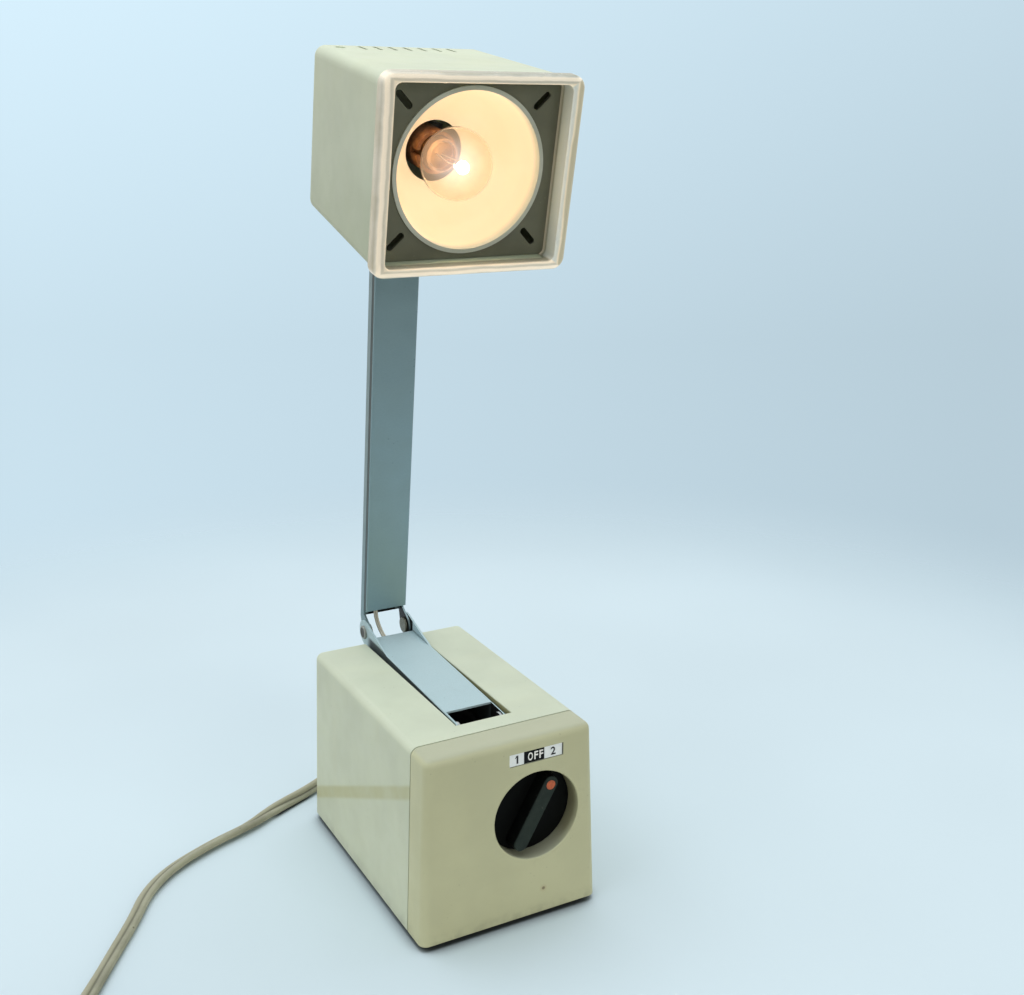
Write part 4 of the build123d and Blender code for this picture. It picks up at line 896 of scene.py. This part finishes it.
def reflector_finish():
    """Spun reflector in use: a pale grey rim, and a warm bowl whose inner side has a painted glow of the
    bulb's light.
    """
    f = Finish("reflector_aluminium")
    x, back, z = f.head_axes()
    radius = f.reach(x, z)
    inner = f.step(f.facing(head_back), 0.05, -0.05)
    bowl = f.times(f.step(radius, 0.0334, 0.0328), inner)
    rings = f.noise(60.0, 2.0, source=f.vector(radius, back))
    cloud = f.clouds(55.0, 4.0, 0.35, 0.7)
    warm = f.mix(f.step(back, 0.010, 0.040), (1.0, 0.765, 0.455), (1.0, 0.70, 0.39))
    warm = f.mark(warm, cloud, 0.4, (1.0, 0.80, 0.52))
    rim = f.mix(cloud, (0.52, 0.56, 0.50), (0.60, 0.64, 0.58))
    # Painted glow of the bowl's inner side, in rings.
    strength = f.times(bowl, f.step(rings, 0.3, 0.7, 0.71, 0.76))
    f.set(
        Base_Color=f.mix(bowl, rim, (0.34, 0.29, 0.22)),
        Metallic=f.times(bowl, 0.2),
        Roughness=f.step(rings, 0.3, 0.7, 0.40, 0.50),
        Emission_Color=warm,
        Emission_Strength=strength,
    )
    f.bump(rings, 0.00005, 0.3)
    return f.material


def bulb_finish():
    """Clear bulb glass that lets the lamp's light out, with faint smears, a painted warm glow all over and
    a painted soft halo in front.
    """
    f = Finish("bulb_glass")
    smear = f.clouds(220.0, 3.0, 0.4, 0.8)
    facing = f.add("ShaderNodeLayerWeight").outputs["Facing"]
    # Painted halo: the glass glows most where it faces the eye.
    halo = f.math("POWER", f.math("SUBTRACT", 1.0, facing), 4.0)
    f.set(
        Base_Color=f.mix(smear, (0.85, 0.81, 0.75), (0.81, 0.76, 0.70)),
        Roughness=f.between(smear, 0.03, 0.10),
        IOR=1.02,
        Transmission_Weight=1.0,
        Emission_Color=f.mix(halo, (1.0, 0.68, 0.43), (1.0, 0.85, 0.78)),
        Emission_Strength=f.math("MULTIPLY_ADD", halo, 0.13, 0.085),
    )
    path = f.add("ShaderNodeLightPath")
    f.see_through(f.most(path.outputs["Is Shadow Ray"], path.outputs["Is Diffuse Ray"]))
    return f.material


def filament_finish():
    """White-hot tungsten along the coil, and duller wire at its ends and on the supports."""
    f = Finish("filament_wire")
    x, back = f.head_axes()[:2]
    hot = f.times(f.step(f.unsigned(x), 0.0032, 0.0024), f.step(back, 0.0215, 0.0205))
    cloud = f.clouds(2500.0, 2.0, 0.3, 0.7)
    f.set(
        Base_Color=f.mix(cloud, (0.30, 0.28, 0.26), (0.42, 0.40, 0.37)),
        Metallic=1.0,
        Roughness=f.between(cloud, 0.35, 0.5),
        Emission_Color=f.mix(hot, (1.0, 0.62, 0.30), (1.0, 0.90, 0.70)),
        Emission_Strength=f.between(hot, 0.4, 60.0),
    )
    return f.material


def brown_phenolic(name, dark, light):
    """Brown phenolic: mottled filler and a dull gloss."""
    f = Finish(name)
    mottle = f.clouds(420.0, 5.0, 0.35, 0.7)
    f.set(Base_Color=f.mix(mottle, dark, light), Roughness=f.between(mottle, 0.30, 0.44))
    f.grain(1500.0, 0.00003, 0.4)
    return f.material


def laminated_core():
    """Stack of iron sheets seen as fine lines, varnished and a little rusty."""
    f = Finish("core_steel")
    sheet = f.step(f.math("FRACT", f.times(f.y, 2000.0)), 0.2, 0.5)
    rust = f.clouds(300.0, 4.0, 0.55, 0.75)
    base = f.mix(sheet, (0.10, 0.10, 0.10), (0.24, 0.23, 0.22))
    base = f.mark(base, rust, 0.5, (0.20, 0.10, 0.05))
    f.set(Base_Color=base, Metallic=0.8, Roughness=f.between(rust, 0.40, 0.6))
    f.bump(sheet, 0.0001, 0.5)
    return f.material


def wound_copper():
    """Enamelled copper wire wound in close turns."""
    f = Finish("winding_copper")
    turns = f.math("PINGPONG", f.times(f.z, 2200.0), 0.5)
    cloud = f.clouds(300.0, 3.0, 0.3, 0.7)
    base = f.mix(cloud, (0.36, 0.13, 0.045), (0.52, 0.22, 0.085))
    f.set(Base_Color=base, Metallic=0.9, Roughness=f.between(cloud, 0.25, 0.35))
    f.bump(turns, 0.0003, 0.8)
    return f.material


def flex_finish(name, colour, cores=False):
    """Flex jacket: grime in patches, dark specks, and on a twin flex a paler core and painted shade between
    the cores.
    """
    f = Finish(name)
    grime = f.clouds(55.0, 4.0, 0.35, 0.75)
    base = f.shades(grime, colour, 1.14, 0.80)
    if cores:
        side = f.add("ShaderNodeAttribute", attribute_name="core_side").outputs["Fac"]
        warm = tinted(colour, 1.18, 1.14, 1.12)
        base = f.mix(f.step(side, -0.2, 0.3, 0.0, 0.75), base, warm)
        # Painted shade between the two cores.
        groove_shade = f.step(f.unsigned(side), 0.22, 0.06)
        base = f.mark(base, groove_shade, 0.52, scaled(colour, 0.26))
    base = f.mark(base, f.specks(260.0, 0.18), 0.7, (0.06, 0.05, 0.035))
    f.set(Base_Color=base, Roughness=f.between(grime, 0.42, 0.58))
    f.grain(1400.0, 0.00005, 0.4)
    return f.material


def floor_finish():
    """Pale paper that gives way to the backdrop with distance, so that no edge shows.

    It bounces neutral light, has a painted contact shadow under the base, and the room in front of it, seen
    only in reflections, is darker."""
    f = Finish("stage_paper")
    near = tuple(colours().floor)
    distance = f.reach(f.x, f.y)
    cloud = f.clouds(3.0, 2.0, 0.3, 0.7)
    path = f.add("ShaderNodeLightPath")
    paper = f.shades(cloud, near, 0.97, 1.02)
    bounce = f.mix(f.step(distance, 0.15, 0.60), (0.74, 0.73, 0.65), (0.24, 0.24, 0.21))
    paper = f.mix(path.outputs["Is Diffuse Ray"], paper, bounce)
    # Painted shadow: the floor darkens under and close round the base, by the occlusion there.
    contact_shadow = f.add("ShaderNodeAmbientOcclusion", samples=12)
    contact_shadow.inputs["Distance"].default_value = 0.014
    under = f.times(
        f.band(f.x, -0.066, 0.066, 0.004),
        f.band(f.y, -0.096, 0.086, 0.004),
        f.step(contact_shadow.outputs["AO"], 0.80, 0.25),
    )
    paper = f.mix(under, paper, scaled(near, 0.10))
    front = f.times(f.step(f.y, -0.15, -0.70), path.outputs["Is Glossy Ray"])
    paper = f.mix(front, paper, scaled(near, 0.12))
    f.set(Base_Color=paper, Roughness=0.9, Specular_IOR_Level=0.1)
    seen = f.most(path.outputs["Is Camera Ray"], path.outputs["Is Transmission Ray"])
    behind = f.times(f.step(f.y, -0.3, 0.3), path.outputs["Is Glossy Ray"])
    f.see_through(f.times(f.step(distance, 0.34, 0.75), f.most(seen, behind)))
    return f.material


# Stage


def add_light(name, place, target, size, power, colour):
    """A square area light at a place, turned to a target."""
    light = bpy.data.lights.new(name, "AREA")
    light.size = size
    light.energy = power
    light.color = colour
    lamp = bpy.data.objects.new(name, light)
    lamp.location = place
    lamp.rotation_euler = (Vector(target) - Vector(place)).to_track_quat("-Z", "Y").to_euler()
    bpy.context.scene.collection.objects.link(lamp)


def add_camera():
    """The camera at the photograph's place and angle."""
    scene = bpy.context.scene
    camera = bpy.data.cameras.new("camera")
    camera.sensor_width = sensor_width
    camera.lens = focal_length
    camera.clip_start = 0.01
    eye = bpy.data.objects.new("camera", camera)
    eye.location = camera_place
    eye.rotation_euler = Vector(camera_aim).to_track_quat("-Z", "Y").to_euler()
    scene.collection.objects.link(eye)
    scene.camera = eye


def add_floor():
    """A floor on a grid that is closer in its middle: x(u) = reach * u |u| and y(v) alike, from -1 to 1."""
    step = np.linspace(-1, 1, floor_lines)
    lines = floor_reach * step * abs(step)
    x, y = np.meshgrid(lines, lines)
    floor = surface("stage_floor", np.stack([x, y, np.full_like(x, floor_level)], -1), floor_finish())


def set_world():
    """Pale world: the camera sees a backdrop that darkens to the right; its light is darker in front."""
    world = bpy.data.worlds.new("studio")
    bpy.context.scene.world = world
    world.use_nodes = True
    tree = world.node_tree
    tree.nodes.clear()
    place = tree.nodes.new("ShaderNodeTexCoord").outputs["Generated"]

    def slope(direction, low, high, start, end):
        """A value that runs from start to end along a direction."""
        dot = tree.nodes.new("ShaderNodeVectorMath")
        dot.operation = "DOT_PRODUCT"
        dot.inputs[1].default_value = direction
        tree.links.new(place, dot.inputs[0])
        ease = tree.nodes.new("ShaderNodeMapRange")
        for key, number in zip(range_keys, (low, high, start, end)):
            ease.inputs[key].default_value = number
        tree.links.new(dot.outputs["Value"], ease.inputs["Value"])
        return ease.outputs[0]

    def light(colour, strength):
        """A background of one colour whose strength varies."""
        node = tree.nodes.new("ShaderNodeBackground")
        node.inputs["Color"].default_value = (*colour, 1.0)
        tree.links.new(strength, node.inputs["Strength"])
        return node.outputs[0]

    both = tree.nodes.new("ShaderNodeMath")
    both.operation = "MULTIPLY"
    tree.links.new(slope(picture_right, -0.35, 0.35, 1.10, 0.89), both.inputs[0])
    tree.links.new(slope(picture_up, 0.12, 0.36, 1.0, 1.17), both.inputs[1])
    sky = light((1.0, 0.985, 0.95), slope((0.0, 1.0, 0.0), -0.9, 0.6, 0.14, 0.80))
    back = light(tuple(colours().backdrop), both.outputs[0])
    choose = tree.nodes.new("ShaderNodeMixShader")
    path = tree.nodes.new("ShaderNodeLightPath")
    tree.links.new(path.outputs["Is Camera Ray"], choose.inputs[0])
    tree.links.new(sky, choose.inputs[1])
    tree.links.new(back, choose.inputs[2])
    tree.links.new(choose.outputs[0], tree.nodes.new("ShaderNodeOutputWorld").inputs[0])


class LAMP_OT_stage(bpy.types.Operator):
    """Floor, lights, world and the camera at the photograph's angle"""

    bl_idname = "lamp.stage"
    bl_label = "Stage"

    def execute(self, context):
        context.scene.view_settings.view_transform = "Standard"
        add_camera()
        add_floor()
        for light in stage_lights:
            add_light(*light)
        set_world()
        return {"FINISHED"}


# Cord


def cord_points():
    """Route of the free flex from the gland: the bends of the part's source, lower where it lies flat."""
    return [gland_tip + bend for bend in np.array(flex_bends)]


def coil_point(x, y, z):
    """A point of the coil's own axes."""
    return coil_middle + x * coil_across + y * coil_ahead + z * upright


def coil_points():
    """Turns of the coil: half turns that shrink on the floor, climb a layer, and grow above it.

    The points of a half turn lie just outside its circle, so that the curve between them runs on it."""
    x, side, z = coil_entry_x, -1, 0.0
    points = [coil_point(x, y, z) for y in coil_entry_y]
    shrinking = np.arange(coil_outer, coil_inner + coil_step / 2, -coil_step)
    growing = np.arange(coil_inner + coil_step, coil_outer - coil_step / 2, coil_step)
    climbing = len(shrinking)
    share = (np.arange(half_turn_points) + 0.5) / half_turn_points
    for n, radius in enumerate([*shrinking, coil_inner, *growing]):
        rise = coil_layer * share if n == climbing else 0.0 * share
        centre = x - side * radius
        reach = side * radius / cos(pi / 2 / half_turn_points)
        for angle, up in zip(pi * share, rise):
            points.append(coil_point(centre + reach * cos(angle), reach * sin(angle), z + up))
        x, side = centre - side * radius, -side
        z = coil_layer if n >= climbing else 0.0
    points.append(coil_point(x, coil_exit_y, z))
    return points


def curve_mesh(name, curve):
    """The mesh of a curve, which is then removed."""
    line = bpy.data.objects.new(name, curve)
    bpy.context.scene.collection.objects.link(line)
    bpy.context.view_layer.update()
    mesh = bpy.data.meshes.new_from_object(line.evaluated_get(bpy.context.evaluated_depsgraph_get()))
    bpy.data.objects.remove(line)
    bpy.data.curves.remove(curve)
    return mesh


def mesh_places(mesh):
    """The places of a mesh's corners, one to a row."""
    places = np.empty(len(mesh.vertices) * 3)
    mesh.vertices.foreach_get("co", places)
    return places.reshape(-1, 3)


def spline_points(points):
    """Points along a smooth curve whose control points are given."""
    curve = bpy.data.curves.new("flex_line", "CURVE")
    curve.dimensions = "3D"
    curve.resolution_u = 6
    spline = curve.splines.new("NURBS")
    spline.points.add(len(points) - 1)
    for point, place in zip(spline.points, points):
        point.co = (*place, 1.0)
    spline.order_u = 3
    spline.use_endpoint_u = True
    mesh = curve_mesh("flex_line", curve)
    places = mesh_places(mesh)
    bpy.data.meshes.remove(mesh)
    return places


class LAMP_OT_cord(bpy.types.Operator):
    """Flat twin flex from the gland along the floor to its coil and plug"""

    bl_idname = "lamp.cord"
    bl_label = "Cord"

    def execute(self, context):
        path = spline_points(cord_points() + coil_points())
        run = np.concatenate([[0.0], np.linalg.norm(np.diff(path, axis=0), axis=1).cumsum()])
        # The flex leaves the gland on edge, twists past flat, lies down, and stands again in the coil.
        turn = np.interp(run, flex_stations, flex_turns)
        material = flex_finish("flex_jacket", tuple(colours().flex), cores=True)
        flex = twin_tube("flex", path, sizes().flex_width, sizes().flex_thickness, material, turn)
        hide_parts("power_cord", "cord_coil")
        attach(flex, "base")
        return {"FINISHED"}


# Wires in the arms


def add_wire(name, path, body, node, other=None):
    """A twin wire along a path, attached to a body; with another body it is left in place, attached to
    neither.
    """
    material = bpy.data.materials.get("wire_jacket")
    if material is None:
        material = flex_finish("wire_jacket", (0.56, 0.55, 0.46), cores=True)
    wire = twin_tube(name, path, sizes().wire_width, sizes().wire_thickness, material, pi / 2, across)
    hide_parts(node)
    if other is None:
        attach(wire, body)
    else:
        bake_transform(wire)


class LAMP_OT_wires(bpy.types.Operator):
    """Supply wires along both arms, across the elbow and into the head"""

    bl_idname = "lamp.wires"
    bl_label = "Wires"

    def execute(self, context):
        start, end = (lower_point(lower_wire_x, along, lower_wire_up) for along in lower_wire_run)
        add_wire("wire_lower_arm", straight(start, end), "lower_arm", "lower_arm_wire")
        top = upper_point(upper_wire_x, upper_wire_start, upper_wire_back)
        loop = bezier(end, end + 0.007 * lower_along, top - 0.010 * upper_along, top)
        add_wire("wire_elbow", loop, "lower_arm", "elbow_wire", "upper_arm")
        # The wire jogs to the edge of the channel and then runs straight up it.
        bend = np.linspace(0.0, 0.006, 24)
        rest = np.linspace(0.009, upper_wire_end - upper_wire_start, 60)
        run = np.concatenate([bend, rest])[:, None]
        jog = np.clip(run / upper_wire_jog, 0, 1)
        x = upper_wire_x - (channel_edge_x + upper_wire_x) * jog**2 * (3 - 2 * jog)
        climb = upper_point(x, upper_wire_start + run, upper_wire_back)
        add_wire("wire_upper_arm", climb, "upper_arm", "upper_arm_wire")
        first, last = (upper_point(channel_edge_x, along, upper_wire_back) for along in slider_wire_run)
        add_wire("wire_slider", straight(first, last), "slider", "slider_wire")
        inside = head_points(*lead_end)
        leave = last + 0.012 * upper_along + 0.006 * upper_back
        lead = bezier(last, leave, inside - 0.012 * head_up, inside)
        add_wire("wire_head_lead", lead, "slider", "head_lead", "head")
        return {"FINISHED"}


# Dial figures


def add_figure(name, text, x, z, width, height, material):
    """A printed figure of a given width and height: flat text made a mesh, then put on the label."""
    curve = bpy.data.curves.new(name, "FONT")
    curve.body = text
    curve.size = 1.0
    curve.extrude = 0.006
    curve.offset = 0.022
    mesh = curve_mesh(name + "_flat", curve)
    spots = mesh_places(mesh)
    spots -= (spots.min(0) + spots.max(0)) / 2
    reach = np.ptp(spots, axis=0)
    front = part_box("label_plate")[0].y - figure_relief / 2
    placed = np.stack(
        [
            x + width * spots[:, 0] / reach[0],
            front - figure_relief * spots[:, 2] / reach[2],
            z + height * spots[:, 1] / reach[1],
        ],
        -1,
    )
    mesh.vertices.foreach_set("co", placed.ravel())
    mesh.materials.clear()
    mesh.update()
    figure = add_object(name, mesh, material)
    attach(figure, "base")


class LAMP_OT_figures(bpy.types.Operator):
    """Figures printed on the dial's label"""

    bl_idname = "lamp.figures"
    bl_label = "Dial figures"

    def execute(self, context):
        low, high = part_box("label_plate")
        wide = high.x - low.x
        z = (low.z + high.z) / 2
        tall = sizes().figure_height
        inks = {
            "black": ink_finish("ink_black", (0.012, 0.012, 0.016)),
            "white": ink_finish("ink_white", (0.90, 0.93, 0.95)),
        }
        for ink, name, text, place, width, rise, height in dial_figures:
            x = low.x + place * wide
            add_figure(name, text, x, z + rise * tall, width * wide, height * tall, inks[ink])
        return {"FINISHED"}


# Bulb


def add_filament(material):
    """The filament's coil, a helix: x = length * (t - 1/2), y = r cos(turn t) and z = r sin(turn t)."""
    t = np.linspace(0, 1, 260)
    turn = 2 * pi * filament_turns * t
    radius = sizes().filament_radius
    back = filament_back + radius * np.cos(turn)
    helix = head_points(filament_length * (t - 0.5), back, radius * np.sin(turn))
    # The wire's section is set square to a direction along which the helix never runs.
    grid = swept(helix, round_section(sizes().filament_wire, 8), np.array([0.31, 0.2, 0.93]))
    coil = surface("bulb_filament_coil", grid, material, tube=True)
    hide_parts("bulb_filament")
    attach(coil, "head")


def add_support(name, side, material):
    """A bent wire that carries one end of the filament, on the left (-1) or the right (1)."""
    bend = bezier(*(head_points(side * x, y, z) for x, y, z in support_bends))
    grid = swept(bend, round_section(support_radius, 10), head_up)
    support = surface(name, grid, material, tube=True)
    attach(support, "head")


def add_bulb_light():
    """The light of the bulb, which rides with the head."""
    light = bpy.data.lights.new("bulb_light", "POINT")
    light.energy = bulb_light_power
    light.color = tuple(colours().glow)
    light.shadow_soft_size = bulb_light_radius
    lamp = bpy.data.objects.new("bulb_light", light)
    lamp.location = head_points(*bulb_light_place)
    bpy.context.scene.collection.objects.link(lamp)
    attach(lamp, "head")


class LAMP_OT_bulb(bpy.types.Operator):
    """Filament, its supports and the light of the bulb"""

    bl_idname = "lamp.bulb"
    bl_label = "Bulb"

    def execute(self, context):
        material = filament_finish()
        add_filament(material)
        add_support("bulb_support_left", -1, material)
        add_support("bulb_support_right", 1, material)
        add_bulb_light()
        return {"FINISHED"}


# Finishes of the solids


class LAMP_OT_finishes(bpy.types.Operator):
    """Procedural finishes for the solids that stay in view"""

    bl_idname = "lamp.finishes"
    bl_label = "Finishes"

    def execute(self, context):
        chosen = colours()
        steel = plated_steel("plated_steel", (0.52, 0.53, 0.54), 0.30)
        screws = plated_steel("screw_steel", (0.58, 0.58, 0.58), 0.26)
        turned = plated_steel("turned_steel", (0.60, 0.60, 0.60), 0.20)
        brass = plated_steel("brass", (0.62, 0.47, 0.22), 0.28)
        phenolic = brown_phenolic("phenolic", (0.085, 0.038, 0.020), (0.20, 0.095, 0.048))
        black = dark_moulding("black_plastic", (0.022, 0.022, 0.022))
        nylon = dark_moulding("black_nylon", (0.03, 0.03, 0.03), 0.5)
        rubber = dark_moulding("rubber", (0.025, 0.024, 0.023), 0.7)
        gland = flex_finish("gland_plastic", tuple(chosen.flex))
        copper = wound_copper()
        holder = brown_phenolic("holder_phenolic", (0.26, 0.105, 0.045), (0.46, 0.215, 0.100))
        across_lines = (1.0, 0.03, 1.0)
        upright_lines = (1.0, 1.0, 0.03)
        upper = tuple(chosen.upper_arm)
        lower = satin_aluminium(
            "lower_arm_aluminium", tuple(chosen.lower_arm), across_lines, 0.15, lower_arm_shade
        )
        rear = satin_aluminium(
            "rear_channel_aluminium", scaled(upper, 0.84), upright_lines, 0.75, rear_channel_shade
        )
        front = satin_aluminium("front_channel_aluminium", upper, upright_lines, 0.75, front_channel_shade)
        chosen_for = {
            "base_housing": moulded_plastic("housing_plastic", tuple(chosen.housing), housing_marks_and_shade),
            "front_cover": moulded_plastic("cover_plastic", tuple(chosen.cover), cover_marks_and_shade),
            "head_shell": moulded_plastic("head_plastic", tuple(chosen.housing), head_marks_and_shade),
            "base_plate": painted_sheet("plate_paint", (0.016, 0.016, 0.016)),
            "rubber_feet": rubber,
            "base_screws": screws,
            "transformer_core": laminated_core(),
            "transformer_bobbin": moulded_plastic("bobbin_plastic", (0.70, 0.68, 0.58)),
            "transformer_primary": copper,
            "transformer_secondary": copper,
            "transformer_strap": steel,
            "transformer_screws": screws,
            "switch_body": phenolic,
            "switch_nut": screws,
            "switch_terminals": brass,
            "label_plate": label_finish(),
            "arm_bracket": bracket_finish(),
            "arm_bracket_screws": screws,
            "arm_pivot_pin": turned,
            "cord_gland": gland,
            "cord_tie": nylon,
            "plug_body": black,
            "plug_pins": brass,
            "knob": knob_finish(),
            "knob_indicator": inlay_finish(),
            "switch_shaft": turned,
            "lower_arm_channel": lower,
            "elbow_rivets": rivet_finish(),
            "upper_arm_rear_channel": rear,
            "slide_stop": steel,
            "upper_arm_front_channel": front,
            "slide_guides": nylon,
            "front_frame": clear_acrylic(),
            "baffle_plate": painted_sheet("baffle_paint", tuple(chosen.baffle), 0.5),
            "reflector": reflector_finish(),
            "socket_shell": holder,
            "socket_base": phenolic,
            "socket_contacts": brass,
            "socket_bracket": steel,
            "bulb_glass": bulb_finish(),
            "bulb_cap": plated_steel("cap_brass", (0.40, 0.24, 0.13), 0.40),
            "head_bracket": steel,
            "head_bracket_screws": screws,
            "head_pivot_pin": turned,
        }
        for node, material in chosen_for.items():
            slots = nodes[node].data.materials
            slots.clear()
            slots.append(material)
        return {"FINISHED"}


class LAMP_PT_panel(bpy.types.Panel):
    """The lamp's sizes, colours and steps"""

    bl_label = "Telescopic table lamp"
    bl_idname = "LAMP_PT_panel"
    bl_space_type = "VIEW_3D"
    bl_region_type = "UI"
    bl_category = "Lamp"

    def draw(self, context):
        for group in (context.scene.lamp_sizes, context.scene.lamp_colours):
            for key in group.__annotations__:
                self.layout.prop(group, key)
        for step in steps:
            self.layout.operator(step.bl_idname)


steps = (LAMP_OT_stage, LAMP_OT_cord, LAMP_OT_wires, LAMP_OT_figures, LAMP_OT_bulb, LAMP_OT_finishes)
classes = (LampSizes, LampColours, *steps, LAMP_PT_panel)


def register():
    """Add the lamp's settings, operators and panel."""
    for kind in classes:
        bpy.utils.register_class(kind)
    bpy.types.Scene.lamp_sizes = PointerProperty(type=LampSizes)
    bpy.types.Scene.lamp_colours = PointerProperty(type=LampColours)


def unregister():
    """Take them out again."""
    del bpy.types.Scene.lamp_colours
    del bpy.types.Scene.lamp_sizes
    for kind in reversed(classes):
        bpy.utils.unregister_class(kind)


def main():
    """Make everything in order."""
    register()
    bpy.ops.lamp.stage()
    bpy.ops.lamp.cord()
    bpy.ops.lamp.wires()
    bpy.ops.lamp.figures()
    bpy.ops.lamp.bulb()
    bpy.ops.lamp.finishes()


if __name__ == "__main__":
    main()
